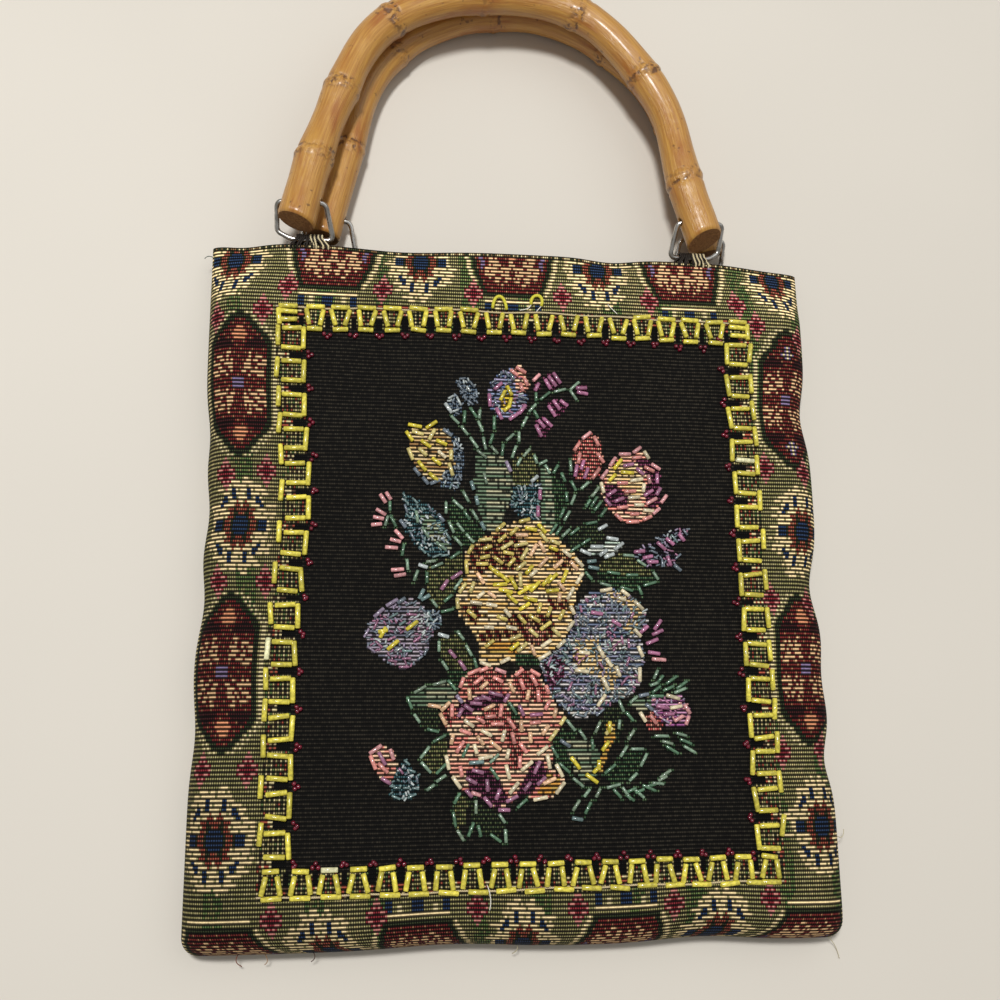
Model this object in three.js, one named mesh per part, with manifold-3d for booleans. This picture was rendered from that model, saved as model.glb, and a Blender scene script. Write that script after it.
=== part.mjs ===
// A small tapestry bag with two bent bamboo handles, lying on its back.
// Millimetres. x runs across the bag, y from its foot to the handles, z off the surface it lies on.
// The origin is on that surface, under the middle of the whole length.
import * as THREE from "three";
import { mergeVertices } from "three/addons/utils/BufferGeometryUtils.js";
import Module from "manifold-3d";

const wasm = await Module();
wasm.setup();

// Cloth body
const BAG_WIDTH = 230;
const BAG_HEIGHT = 253;
const CLOTH = 2.2;
const SEAM_HEIGHT = 7;
const FRONT_HEIGHT = 18;
const MOUTH_HEIGHT = 15.5;
const EDGE_ROLL = 11;
const MOUTH_ROLL_FRONT = 45;
const MOUTH_ROLL_BACK = 28;
const MOUTH_EASE = 24;
const FOOT_CORNER = 6;
const PUCKER_REACH_IN = 26;
const ROLL_STEPS = 4;
const FLAT_STEPS_ACROSS = 10;
const ROW_STEPS = 28;

// Space kept between neighbouring pieces, and the distance under which points are one
const GAP = 0.3;
const WELD = 1e-4;

// Gathers that pull the sewn edges in: where along the edge, how deep, and how far they spread
const PUCKERS = [
  { edge: "left", at: 178, depth: 2.0, spread: 13 },
  { edge: "left", at: 150, depth: 3.0, spread: 15 },
  { edge: "left", at: 118, depth: 2.6, spread: 14 },
  { edge: "left", at: 72, depth: 1.5, spread: 13 },
  { edge: "right", at: 192, depth: 2.8, spread: 12 },
  { edge: "right", at: 125, depth: 3.8, spread: 13 },
  { edge: "right", at: 92, depth: 1.6, spread: 12 },
  { edge: "right", at: 62, depth: 2.8, spread: 10 },
  { edge: "foot", at: -25, depth: 1.5, spread: 24 },
  { edge: "foot", at: 63, depth: 1.7, spread: 20 },
];

// Crenellated border of bugle beads on the front: half sizes about its own middle
const BEAD = 1.8;
const BORDER_HALF_WIDTH = 90.5;
const BORDER_FOOT = 19.8;
const BORDER_TOP = 228;
const BORDER_DEPTH = 10.4;
const BEAD_CELL_SHARE = 0.78;
const BEAD_CELLS_ACROSS = 19;
const BEAD_CELLS_UP = 15;

// Bamboo handles
const CANE_RADIUS = 6.3;
const CANE_END_RADIUS = 6.6;
const CANE_END_FLARE = 14;
const CANE_SIDES = 12;
const CANE_STEP = 9;
const NODE_SWELL = 0.6;
const NODE_HALF_LENGTH = 3;
const NODE_CLEARANCE = 1;
const SWAY_SPREAD = 20;
const LEG_SPLAY = THREE.MathUtils.degToRad(13);
const LEG_FOOT = 260;
const HOLE_FROM_END = 7.4;
const HOLE_RADIUS = 1.6;
const HOLE_SIDES = 10;
// Each node's place along the cane, and how far the cane sways out of the true arch there
const HANDLES = [
  {
    name: "front_handle", centre: -5, halfSpan: 79.5, rise: 100.5, height: 21.3,
    nodes: [
      { at: 28, sway: 0 },
      { at: 62, sway: 0.3 },
      { at: 97, sway: 1.5 },
      { at: 133, sway: 0.6 },
      { at: 172, sway: 2.2 },
      { at: 209, sway: 0.8 },
      { at: 257, sway: -1.8 },
    ],
  },
  {
    name: "back_handle", centre: 2.3, halfSpan: 76.5, rise: 103.5, height: 7,
    nodes: [
      { at: 39, sway: -0.4 },
      { at: 87, sway: 0.8 },
      { at: 133, sway: 0 },
      { at: 183, sway: -0.6 },
      { at: 226, sway: 0.5 },
      { at: 259, sway: 0 },
    ],
  },
];

// Wire links through the cane ends, and the thread wraps that hold them on the hem
const WIRE_RADIUS = 0.95;
const WIRE_SIDES = 6;
const LINK_OUTER_REACH = 9.6;
const LINK_INNER_REACH = 8.6;
const LINK_SHOULDER = 0.74;
const LINK_BAR_SHARE = 0.72;
const LINK_CORNER_TOP = 2.6;
const LINK_CORNER_FOOT = 4.4;
const LINK_CORNER_SHOULDER = 1.8;
const LINK_CORNER_STEPS = 3;
const WRAP_RADIUS = 2.1;
const WRAP_LENGTH = 9;
const WRAP_SEGMENTS = 6;
const LINKS = [
  { place: "front_left", handle: "front_handle", side: -1, footShift: 3.2, hemHeight: 14.3 },
  { place: "front_right", handle: "front_handle", side: 1, footShift: -2.1, hemHeight: 14.3 },
  { place: "back_left", handle: "back_handle", side: -1, footShift: 2.4, hemHeight: 2.4 },
  { place: "back_right", handle: "back_handle", side: 1, footShift: -2.4, hemHeight: 2.4 },
];

// The whole length, from the bag's foot to the outer edge of the longer handle
const TOTAL_LENGTH = LEG_FOOT + Math.max(...HANDLES.map((handle) => handle.rise)) + CANE_RADIUS;

const FINISHES = {
  tapestry: { color: 0x4a4a2c, roughness: 0.9, metalness: 0 },
  lining: { color: 0x3b3a26, roughness: 0.95, metalness: 0 },
  bamboo: { color: 0xc8964f, roughness: 0.35, metalness: 0 },
  wire: { color: 0xb9b7b2, roughness: 0.3, metalness: 1 },
  thread: { color: 0x33291f, roughness: 0.9, metalness: 0 },
  beads: { color: 0xd6cf2a, roughness: 0.2, metalness: 0 },
};

const group = new THREE.Group();
const bag = new THREE.Group();
bag.position.y = -TOTAL_LENGTH / 2;
group.add(bag);

function addPiece(name, geometry, finish) {
  const mesh = new THREE.Mesh(geometry, new THREE.MeshStandardMaterial(FINISHES[finish]));
  mesh.name = name;
  bag.add(mesh);
}

// A closed body through rings of points. A ring runs once round the section; an open body is capped by
// strips that join each ring's first half to its second half.
function loft(rings, endless = false) {
  const count = rings[0].length;
  const positions = rings.flat().flatMap((point) => point.toArray());
  const faces = [];
  const spans = endless ? rings.length : rings.length - 1;
  for (let row = 0; row < spans; row += 1) {
    const here = row * count;
    const next = ((row + 1) % rings.length) * count;
    for (let i = 0; i < count; i += 1) {
      const j = (i + 1) % count;
      faces.push(here + i, here + j, next + j);
      faces.push(here + i, next + j, next + i);
    }
  }
  if (!endless) {
    const last = (rings.length - 1) * count;
    for (let i = 0; i < count / 2 - 1; i += 1) {
      const far = count - 1 - i;
      faces.push(i, far, far - 1);
      faces.push(i, far - 1, i + 1);
      faces.push(last + i, last + far - 1, last + far);
      faces.push(last + i, last + i + 1, last + far - 1);
    }
  }
  const geometry = new THREE.BufferGeometry();
  geometry.setAttribute("position", new THREE.Float32BufferAttribute(positions, 3));
  geometry.setIndex(faces);
  return geometry;
}

function toSolid(geometry) {
  const bare = geometry.clone();
  bare.deleteAttribute("normal");
  bare.deleteAttribute("uv");
  const welded = mergeVertices(bare, WELD);
  return new wasm.Manifold(new wasm.Mesh({
    numProp: 3,
    vertProperties: new Float32Array(welded.attributes.position.array),
    triVerts: new Uint32Array(welded.index.array),
  }));
}

function fromSolid(solid) {
  const mesh = solid.getMesh();
  const geometry = new THREE.BufferGeometry();
  geometry.setAttribute("position", new THREE.BufferAttribute(mesh.vertProperties, 3));
  geometry.setIndex(new THREE.BufferAttribute(mesh.triVerts, 1));
  return geometry;
}

// Cloth panels
function puckerDepth(edge, at) {
  let depth = 0;
  for (const pucker of PUCKERS) {
    if (pucker.edge === edge) {
      depth += pucker.depth * Math.exp(-(((at - pucker.at) / pucker.spread) ** 2));
    }
  }
  return depth;
}

// 0 in the belly of the bag, 1 at the hem
function mouthShare(y) {
  return THREE.MathUtils.smoothstep(y, BAG_HEIGHT - MOUTH_EASE, BAG_HEIGHT);
}

function frontRise(y) {
  return THREE.MathUtils.lerp(FRONT_HEIGHT, MOUTH_HEIGHT, mouthShare(y)) - SEAM_HEIGHT;
}

// Half width of the sewn outline at a height, before the gathers
function halfWidth(y, inset) {
  const corner = Math.max(0, FOOT_CORNER - y + inset);
  const rounding = FOOT_CORNER - Math.sqrt(FOOT_CORNER ** 2 - Math.min(corner, FOOT_CORNER) ** 2);
  return BAG_WIDTH / 2 - inset - rounding;
}

// How far the cloth has rolled up from the seam, and how far in from it, along one edge
function rollSteps(reach) {
  const steps = [];
  for (let i = 0; i < ROLL_STEPS; i += 1) {
    const angle = (i / ROLL_STEPS) * (Math.PI / 2);
    steps.push({ inward: reach * (1 - Math.cos(angle)), lift: Math.sin(angle) });
  }
  return steps;
}

// Places across the bag from the left seam to the right one
function acrossSteps(half, reach) {
  const roll = rollSteps(reach);
  const steps = roll.map((step) => ({ x: -half + step.inward, lift: step.lift }));
  for (let i = 0; i <= FLAT_STEPS_ACROSS; i += 1) {
    steps.push({ x: (half - reach) * ((2 * i) / FLAT_STEPS_ACROSS - 1), lift: 1 });
  }
  return steps.concat(roll.reverse().map((step) => ({ x: half - step.inward, lift: step.lift })));
}

// Places up the bag from the foot seam to the hem
function upSteps(inset) {
  const steps = rollSteps(EDGE_ROLL).map((step) => ({ y: inset + step.inward, lift: step.lift }));
  const start = inset + EDGE_ROLL;
  for (let i = 0; i <= ROW_STEPS; i += 1) {
    steps.push({ y: start + ((BAG_HEIGHT - start) * i) / ROW_STEPS, lift: 1 });
  }
  return steps;
}

// A gather fades out away from the seam that it pulls in
function gathered(x, y, half) {
  const side = x < 0 ? "left" : "right";
  const sideFade = Math.exp(-(((half - Math.abs(x)) / PUCKER_REACH_IN) ** 2));
  const footFade = Math.exp(-((y / PUCKER_REACH_IN) ** 2));
  return {
    x: x - Math.sign(x) * puckerDepth(side, y) * sideFade,
    y: y + puckerDepth("foot", x) * footFade,
  };
}

// One row of points across a panel: facing is 1 for the front and -1 for the back
function panelRow(step, facing, inset) {
  const mouthRoll = facing > 0 ? MOUTH_ROLL_FRONT : MOUTH_ROLL_BACK;
  const reach = THREE.MathUtils.lerp(EDGE_ROLL, mouthRoll, mouthShare(step.y));
  const seam = SEAM_HEIGHT + (facing * GAP) / 2;
  const full = facing > 0 ? frontRise(step.y) - GAP / 2 : SEAM_HEIGHT - GAP / 2;
  const half = halfWidth(step.y, inset);
  return acrossSteps(half, reach).map((place) => {
    const spot = gathered(place.x, step.y, half);
    const z = seam + facing * (full - inset) * place.lift * step.lift;
    return new THREE.Vector3(spot.x, spot.y, z);
  });
}

function panel(facing) {
  const outer = upSteps(0);
  const inner = upSteps(CLOTH);
  const rings = outer.map((step, i) => {
    const skin = panelRow(step, facing, 0);
    const reverse = panelRow(inner[i], facing, CLOTH).reverse();
    const ring = skin.concat(reverse);
    return facing > 0 ? ring : ring.reverse();
  });
  return loft(rings);
}

// Bead border: a string of beads along u, with square cells of beads that stand off it along v
function beadPlate(u, v, length, depth, thickness) {
  const plate = new THREE.BoxGeometry(length, depth, thickness);
  plate.translate(u + length / 2, v + depth / 2, BEAD / 2);
  return toSolid(plate);
}

function beadCells(length, cells) {
  const pitch = length / cells;
  const width = pitch * BEAD_CELL_SHARE;
  const windowDepth = BORDER_DEPTH - 2 * BEAD;
  let string = beadPlate(0, 0, length, BEAD, BEAD);
  for (let i = 0; i < cells; i += 1) {
    const left = (i + 0.5) * pitch - width / 2;
    string = string.add(beadPlate(left, 0, width, BORDER_DEPTH, BEAD));
    string = string.subtract(beadPlate(left + BEAD, BEAD, width - 2 * BEAD, windowDepth, 2 * BEAD));
  }
  return fromSolid(string);
}

// A row is turned to its side of the border and laid on the flat of the front cloth
function beadRow({ length, cells, turn, x, y }) {
  const geometry = beadCells(length, cells);
  geometry.rotateZ(turn);
  geometry.translate(x, y, FRONT_HEIGHT + GAP);
  return geometry;
}

function addBeadBorder() {
  const width = 2 * BORDER_HALF_WIDTH;
  const sideFoot = BORDER_FOOT + BORDER_DEPTH + GAP;
  const sideTop = BORDER_TOP - BORDER_DEPTH - GAP;
  const sideLength = sideTop - sideFoot;
  const quarter = Math.PI / 2;
  const rows = [
    { name: "top", length: width, cells: BEAD_CELLS_ACROSS, turn: Math.PI, x: width / 2, y: BORDER_TOP },
    { name: "bottom", length: width, cells: BEAD_CELLS_ACROSS, turn: 0, x: -width / 2, y: BORDER_FOOT },
    { name: "left", length: sideLength, cells: BEAD_CELLS_UP, turn: -quarter, x: -width / 2, y: sideTop },
    { name: "right", length: sideLength, cells: BEAD_CELLS_UP, turn: quarter, x: width / 2, y: sideFoot },
  ];
  for (const row of rows) {
    addPiece(`bead_row_${row.name}`, beadRow(row), "beads");
  }
}

function caneSway(handle, distance) {
  let sway = 0;
  for (const node of handle.nodes) {
    sway += node.sway * Math.exp(-(((distance - node.at) / SWAY_SPREAD) ** 2));
  }
  return sway;
}

// Bamboo handles: straight splayed legs that run into one round arch
function caneLine(handle) {
  const sine = Math.sin(LEG_SPLAY);
  const cosine = Math.cos(LEG_SPLAY);
  const tangent = Math.tan(LEG_SPLAY);
  const radius = (handle.halfSpan - tangent * handle.rise) / (cosine - tangent * (1 - sine));
  const archCentre = LEG_FOOT + handle.rise - radius;
  const leg = (archCentre + radius * sine - LEG_FOOT) / cosine;
  const arch = radius * (Math.PI - 2 * LEG_SPLAY);
  const length = 2 * leg + arch;
  function at(distance) {
    const mirrored = distance > length / 2;
    const along = mirrored ? length - distance : distance;
    const spot = new THREE.Vector2();
    let lean = LEG_SPLAY;
    if (along < leg) {
      spot.set(-handle.halfSpan + along * sine, LEG_FOOT + along * cosine);
    } else {
      lean = LEG_SPLAY + (along - leg) / radius;
      spot.set(-radius * Math.cos(lean), archCentre + radius * Math.sin(lean));
    }
    const outward = new THREE.Vector3(-Math.cos(lean), Math.sin(lean), 0);
    if (mirrored) {
      spot.x *= -1;
      outward.x *= -1;
    }
    const middle = new THREE.Vector3(spot.x + handle.centre, spot.y, handle.height);
    middle.addScaledVector(outward, caneSway(handle, distance));
    return { middle, outward };
  }
  return { length, at };
}

function caneRadius(handle, distance, length) {
  const fromEnd = Math.min(distance, length - distance);
  const flare = THREE.MathUtils.clamp(1 - fromEnd / CANE_END_FLARE, 0, 1);
  let radius = THREE.MathUtils.lerp(CANE_RADIUS, CANE_END_RADIUS, flare);
  for (const node of handle.nodes) {
    const near = 1 - Math.abs(distance - node.at) / NODE_HALF_LENGTH;
    radius += NODE_SWELL * Math.max(0, near);
  }
  return radius;
}

// Even steps along the cane, with three more rings at each node
function caneStations(handle, length) {
  const stations = [];
  const steps = Math.round(length / CANE_STEP);
  for (let i = 0; i <= steps; i += 1) {
    const distance = (length * i) / steps;
    if (handle.nodes.every((node) => Math.abs(node.at - distance) > NODE_HALF_LENGTH + NODE_CLEARANCE)) {
      stations.push(distance);
    }
  }
  for (const node of handle.nodes) {
    stations.push(node.at - NODE_HALF_LENGTH, node.at, node.at + NODE_HALF_LENGTH);
  }
  return stations.sort((a, b) => a - b);
}

function cane(handle) {
  const line = caneLine(handle);
  const rings = caneStations(handle, line.length).map((distance) => {
    const { middle, outward } = line.at(distance);
    const radius = caneRadius(handle, distance, line.length);
    const ring = [];
    for (let i = 0; i < CANE_SIDES; i += 1) {
      const angle = (2 * Math.PI * (i + 0.5)) / CANE_SIDES;
      const point = middle.clone().addScaledVector(outward, radius * Math.cos(angle));
      point.z += radius * Math.sin(angle);
      ring.push(point);
    }
    return ring;
  });
  return loft(rings);
}

// Middle of the hole drilled across a cane near its end
function holeMiddle(handle, side) {
  return new THREE.Vector3(
    handle.centre + side * (handle.halfSpan - HOLE_FROM_END * Math.sin(LEG_SPLAY)),
    LEG_FOOT + HOLE_FROM_END * Math.cos(LEG_SPLAY),
    handle.height,
  );
}

function drill(middle) {
  const length = 4 * CANE_END_RADIUS;
  const bit = new THREE.CylinderGeometry(HOLE_RADIUS, HOLE_RADIUS, length, HOLE_SIDES);
  bit.rotateZ(Math.PI / 2);
  bit.translate(middle.x, middle.y, middle.z);
  return toSolid(bit);
}

function addHandle(handle) {
  let solid = toSolid(cane(handle));
  for (const side of [-1, 1]) {
    solid = solid.subtract(drill(holeMiddle(handle, side)));
  }
  addPiece(handle.name, fromSolid(solid), "bamboo");
}

// Wire link: a rounded loop in the plane through the drilled hole and the bar on the hem
function roundedCorner(corner, before, after, radius) {
  const points = [];
  const start = corner.clone().add(before.clone().sub(corner).setLength(radius));
  const end = corner.clone().add(after.clone().sub(corner).setLength(radius));
  const bend = new THREE.QuadraticBezierCurve3(start, corner, end);
  for (let i = 0; i <= LINK_CORNER_STEPS; i += 1) {
    points.push(bend.getPoint(i / LINK_CORNER_STEPS));
  }
  return points;
}

// The outer side runs straight past the splayed cane end before it turns in to the bar
function linkPath(top, bar, side) {
  const foot = new THREE.Vector3(top.x, bar.y, bar.z);
  const shoulder = top.clone().lerp(foot, LINK_SHOULDER);
  const outer = new THREE.Vector3(side * LINK_OUTER_REACH, 0, 0);
  const inner = new THREE.Vector3(-side * LINK_INNER_REACH, 0, 0);
  const corners = [
    { at: top.clone().add(outer), radius: LINK_CORNER_TOP },
    { at: top.clone().add(inner), radius: LINK_CORNER_TOP },
    { at: bar.clone().add(inner), radius: LINK_CORNER_FOOT },
    { at: bar.clone().addScaledVector(outer, LINK_BAR_SHARE), radius: LINK_CORNER_SHOULDER },
    { at: shoulder.add(outer), radius: LINK_CORNER_SHOULDER },
  ];
  const count = corners.length;
  return corners.flatMap((corner, i) => {
    const before = corners[(i + count - 1) % count].at;
    const after = corners[(i + 1) % count].at;
    return roundedCorner(corner.at, before, after, corner.radius);
  });
}

function wireLoop(path) {
  const across = path[1].clone().sub(path[0]);
  const along = path[Math.floor(path.length / 2)].clone().sub(path[0]);
  const normal = across.cross(along).normalize();
  const rings = path.map((point, i) => {
    const before = path[(i + path.length - 1) % path.length];
    const after = path[(i + 1) % path.length];
    const sideways = normal.clone().cross(after.clone().sub(before)).normalize();
    const ring = [];
    for (let k = 0; k < WIRE_SIDES; k += 1) {
      const angle = (2 * Math.PI * k) / WIRE_SIDES;
      const spoke = sideways.clone().multiplyScalar(Math.cos(angle));
      spoke.addScaledVector(normal, Math.sin(angle));
      ring.push(point.clone().addScaledVector(spoke, WIRE_RADIUS));
    }
    return ring;
  });
  return loft(rings, true);
}

// Thread wrap: a short sleeve round the link's bar, resting on the hem
function threadWrap(bar) {
  const shape = new THREE.Shape();
  shape.absarc(0, 0, WRAP_RADIUS, 0, 2 * Math.PI);
  const eye = new THREE.Path();
  eye.absarc(0, 0, WIRE_RADIUS + GAP, 0, 2 * Math.PI, true);
  shape.holes.push(eye);
  const geometry = new THREE.ExtrudeGeometry(shape, {
    depth: WRAP_LENGTH, bevelEnabled: false, curveSegments: WRAP_SEGMENTS,
  });
  geometry.translate(0, 0, -WRAP_LENGTH / 2);
  geometry.rotateY(Math.PI / 2);
  geometry.translate(bar.x, bar.y, bar.z);
  return geometry;
}

function addLink({ place, handle, side, footShift, hemHeight }) {
  const top = holeMiddle(HANDLES.find((row) => row.name === handle), side);
  const bar = new THREE.Vector3(top.x + footShift, BAG_HEIGHT + GAP + WRAP_RADIUS, hemHeight);
  addPiece(`link_${place}`, wireLoop(linkPath(top, bar, side)), "wire");
  addPiece(`stitch_${place}`, threadWrap(bar), "thread");
}

addPiece("front_panel", panel(1), "tapestry");
addPiece("back_panel", panel(-1), "lining");
addBeadBorder();
HANDLES.forEach(addHandle);
LINKS.forEach(addLink);

export default group;
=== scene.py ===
"""Looks of the bamboo handle bag: tapestry, sewn bugle beads, lacquered canes, wire links and thread."""

import math

import bpy
import numpy as np
from mathutils import Euler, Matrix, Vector


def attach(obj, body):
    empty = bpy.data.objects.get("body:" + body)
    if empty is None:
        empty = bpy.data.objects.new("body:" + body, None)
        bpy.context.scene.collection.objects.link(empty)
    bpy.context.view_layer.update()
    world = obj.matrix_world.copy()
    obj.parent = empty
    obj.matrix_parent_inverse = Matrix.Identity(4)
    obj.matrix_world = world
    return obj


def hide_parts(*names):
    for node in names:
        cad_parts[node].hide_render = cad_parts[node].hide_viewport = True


bl_info = {
    "name": "Bamboo Handle Bag",
    "version": (1, 0, 0),
    "blender": (4, 5, 0),
    "location": "3D View > Sidebar > Bag",
    "description": "Makes the cloth, beadwork, canes, links and thread of a bamboo handle bag",
    "category": "Object",
}

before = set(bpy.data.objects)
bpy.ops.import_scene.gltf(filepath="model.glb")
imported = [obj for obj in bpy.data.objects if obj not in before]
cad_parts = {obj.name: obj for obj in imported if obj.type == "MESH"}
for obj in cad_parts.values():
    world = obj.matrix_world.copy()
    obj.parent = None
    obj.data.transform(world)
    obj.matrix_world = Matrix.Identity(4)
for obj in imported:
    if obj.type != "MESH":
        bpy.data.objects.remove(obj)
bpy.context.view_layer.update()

# Millimetres, on the bag: x across, y from the foot to the handles, z off the surface that it lies on
MM = 0.001
# From the foot of the bag to the middle of the shared frame
HALF_LENGTH = 184.9
SEED = 41
UP = (0, 0, 1)

# Sewn cloth
BAG_WIDTH = 230
BAG_HEIGHT = 253
SEAM_HEIGHT = 7
FRONT_HEIGHT = 18
MOUTH_HEIGHT = 15.5
EDGE_ROLL = 11
# Reach of the rolled edges at the mouth, by facing: front and back
MOUTH_ROLL = {1: 45, -1: 28}
MOUTH_EASE = 24
FOOT_CORNER = 6
GATHER_REACH = 26
SEAM_GAP = 0.3
ROLL_STEPS = 25
FOOT_ARC = EDGE_ROLL * math.pi / 2
CLOTH_WIDTH = BAG_WIDTH - 2 * EDGE_ROLL + 2 * FOOT_ARC
CLOTH_HEIGHT = BAG_HEIGHT - EDGE_ROLL + FOOT_ARC
CLOTH_FOOT = EDGE_ROLL - FOOT_ARC
# Gathers of each seam: place along it, depth and spread
GATHERS = {
    "left": [(178, 2.0, 13), (150, 3.0, 15), (118, 2.6, 14), (72, 1.5, 13)],
    "right": [(192, 2.8, 12), (125, 3.8, 13), (92, 1.6, 12), (62, 2.8, 10)],
    "foot": [(-25, 1.5, 24), (63, 1.7, 20)],
}
# Slow waves of the laid cloth: height, length across, length up, start
CLOTH_WAVES = [(0.22, 61, 83, 0.4), (0.16, -37, 52, 1.9), (0.12, 29, -41, 3.3)]
CLOTH_WAVE_FADE = 16
# Where the hem hangs lower: at, depth and spread along it, and how far down the cloth that reaches
HEM_DIPS = [(-103, 1.5, 9), (-44, 1.5, 20), (37, 1.7, 11), (102, 1.3, 16)]
HEM_DIP_REACH = 8

# Bead border
BORDER_HALF_WIDTH = 90.5
BORDER_FOOT = 19.8
BORDER_TOP = 228
BORDER_DEPTH = 10.4
CELLS_ACROSS = 19
CELLS_UP = 15
CELL_SHARE = 0.74
# How far the side rows overlap the bottom row, and run on at the top
SIDE_OVERLAP = 1.3
SIDE_STRETCH = 4.3
SIDE_START = BORDER_FOOT + BORDER_DEPTH - SIDE_OVERLAP
# How each sewn row strays from a straight line: shift, tilt from end to end,
# and the rise, place and spread of a bulge
BORDER_DRIFT = {
    "top": (-0.4, 0.4, 1.5, 0, 62), "bottom": (-1.4, 1.0, 0, 0, 1), "left": (0.3, 0.2, 3.6, 153, 34),
    "right": (0.5, -0.9, 0, 0, 1),
}

# Canes
CANE_END_FLARE = 40
END_SLANT_REACH = 15
SWAY_SPREAD = 20
LEG_SPLAY = math.radians(13)
LEG_FOOT = 260
HOLE_FROM_END = 7.4
HOLE_RADIUS = 1.6
# Of each cane: its line, its thickness, how its ends are cut,
# and each node's distance along it and sway outward
HANDLES = {
    "front": {
        "centre": -5, "half_span": 78.7, "rise": 100.5, "height": 21.3,
        "radius": 6.55, "end_radius": 7.3, "left_extra": 0.9, "slant": 0.12, "right_lean": 0.22,
        "nodes": [(26, 0.2), (57, -2.3), (95, 1.6), (133, 0.6), (172, 2.4), (209, -0.9), (257, -1.5)],
    },
    "back": {
        "centre": 2.3, "half_span": 76.5, "rise": 103.5, "height": 7,
        "radius": 6.2, "end_radius": 6.6, "left_extra": 0, "slant": 0, "right_lean": 0,
        "nodes": [(39, -0.4), (87, 0.8), (133, 0), (183, -0.6), (226, 0.5), (259, 0)],
    },
}

# Wire links and their thread
WIRE_RADIUS = 0.95
LINK_OUTER_REACH = 9.1
LINK_INNER_REACH = 8.9
LINK_SHOULDER = 0.74
LINK_SHOULDER_DROP = 2.3
LINK_BAR_SHARE = 0.77
LINK_CORNERS = [2.6, 2.6, 2.8, 1.8, 1.8]
BAR_Y = 255.4
WRAP_RADIUS = 2.1
WRAP_LENGTH = 10
# Of each link: handle, side, shift of the bar, height of the hem
LINKS = {
    "front_left": ("front", -1, 3.2, 14.3),
    "front_right": ("front", 1, -2.1, 14.3),
    "back_left": ("back", -1, 2.4, 2.4),
    "back_right": ("back", 1, -2.4, 2.4),
}

# Camera at the picture's angle, in the frame's millimetres and degrees
CAMERA_AT = np.array((-68.2, -131.2, 442.5))
CAMERA_TURN = (13.385, -7.924, -0.664)
PICTURE = 1000
FOCAL_PIXELS = 1211.3

# Yarns, as display colours
YARNS = {
    "olive": (146, 140, 90), "tan": (182, 166, 114), "moss": (92, 114, 66), "dark": (52, 58, 36),
    "ground": (156, 148, 98), "pale": (168, 158, 110), "grass": (110, 126, 72), "deep": (62, 28, 28),
    "cream": (228, 204, 152), "navy": (44, 62, 92), "red": (152, 76, 58), "wine": (116, 44, 40),
    "lavender": (116, 100, 130), "orange": (204, 136, 98), "black": (16, 15, 14), "pink": (188, 122, 112),
    "crimson": (136, 46, 52), "tick": (206, 190, 142), "soot": (46, 42, 35), "rust": (70, 54, 42),
    "ash": (31, 28, 24), "hem": (120, 94, 62), "buff": (208, 168, 124), "clay": (156, 106, 76),
}

# Half charts of the border's ornaments, mirrored both ways: a row for each weft,
# a letter for each warp from the middle out, and the size of both on the cloth
CHART_YARNS = {
    "n": "navy", "r": "red", "w": "wine", "c": "cream", "d": "dark", "l": "lavender", "o": "orange",
    "k": "deep", "p": "pink", "s": "crimson", "t": "tick", "f": "cream", "b": "buff",
}
CHART_WARP = 0.803
CHART_WEFT = 1.44
# Letters whose weft floats, and those that another yarn binds down along a slant
FLOATING = "bclopft"
BOUND_BY = {"b": "wine", "c": "olive"}
BINDING = 7
BINDING_SLANT = 3
# Letters with flecks of another yarn, along a slant too
FLECKED = "rw"
FLECK = "clay"
FLECK_EVERY = 5
FLECK_SLANT = 2
# Letter that wears off at the ends of a row, by fewer cells than this
FRAYED = "c"
FRAY_MOST = 6
# How far the weft of the black field floats, the share of broken floats and how far they darken
FIELD_FLOAT = 0.5
BROKEN_SHARE = 0.12
BROKEN_SHADE = 0.5
# Brightness of the cloth, with painted light that lifts it toward the hem and above the beads: at the foot,
# what it gains up to the hem, above the beads and to the right, and how it varies from cell to cell
FOOT_PAINTED_LIGHT = 0.9
HEM_PAINTED_LIGHT = 0.32
TOP_PAINTED_LIGHT = 0.22
RIGHT_BRIGHTENING = 0.25
TOP_PAINTED_LIGHT_REACH = 8
YARN_UNEVEN = (0.86, 1.1)
FLOWER = [
    "nnnndrrrdnnnncccccc", "nnnndrrrdnnnncccccc", "nnndrrrcccccccccccc", "rrddrrcccccccccccc",
    "rrrdrrrcccccccccc", "crrrcccccnncccccc", "ccrccccnnncccccc", "cccnnccnncccccc",
    "cccnnccccccccc", "cccnnccccccc", "ccccccccccc", ".cccccccc", "..cccc",
]
OCTAGON = [
    "lllwwwwwwwwwwdd.tt", "lllwwwwwwwwwwdd.tt", "wwwwwbwwwbbbwdd.tt", "wwbbwwbbbbbbbdd.tt",
    "wwwbbbwwbbwwwdd.tt", "wwwbbbbwwbbbbdd.tt", "wwwbbbwbbwwbbdd.tt", "wwwwwbwwbbbwwdd.tt",
    "wwwwbbwwwwwwwdd.tt", "wwwwwwwwwwwwwdd.tt", "wwwkkkkkkkkkkdd.tt", "wwwwkkkkkkkkddd.tt",
    "ooowwwwkkkwddd.t.t", "oooowwwwwwddd.t.t", "ooowwwwwddd.t.t", "oowwwwddd.t.t", "wwwwwddd.t.t",
    "wwwddd.t.t", "ddddd.t.t", "dd.t.t",
]
STAR_OCTAGON = [row.replace("oo", "tl").replace("o", "k") for row in OCTAGON]
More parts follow.
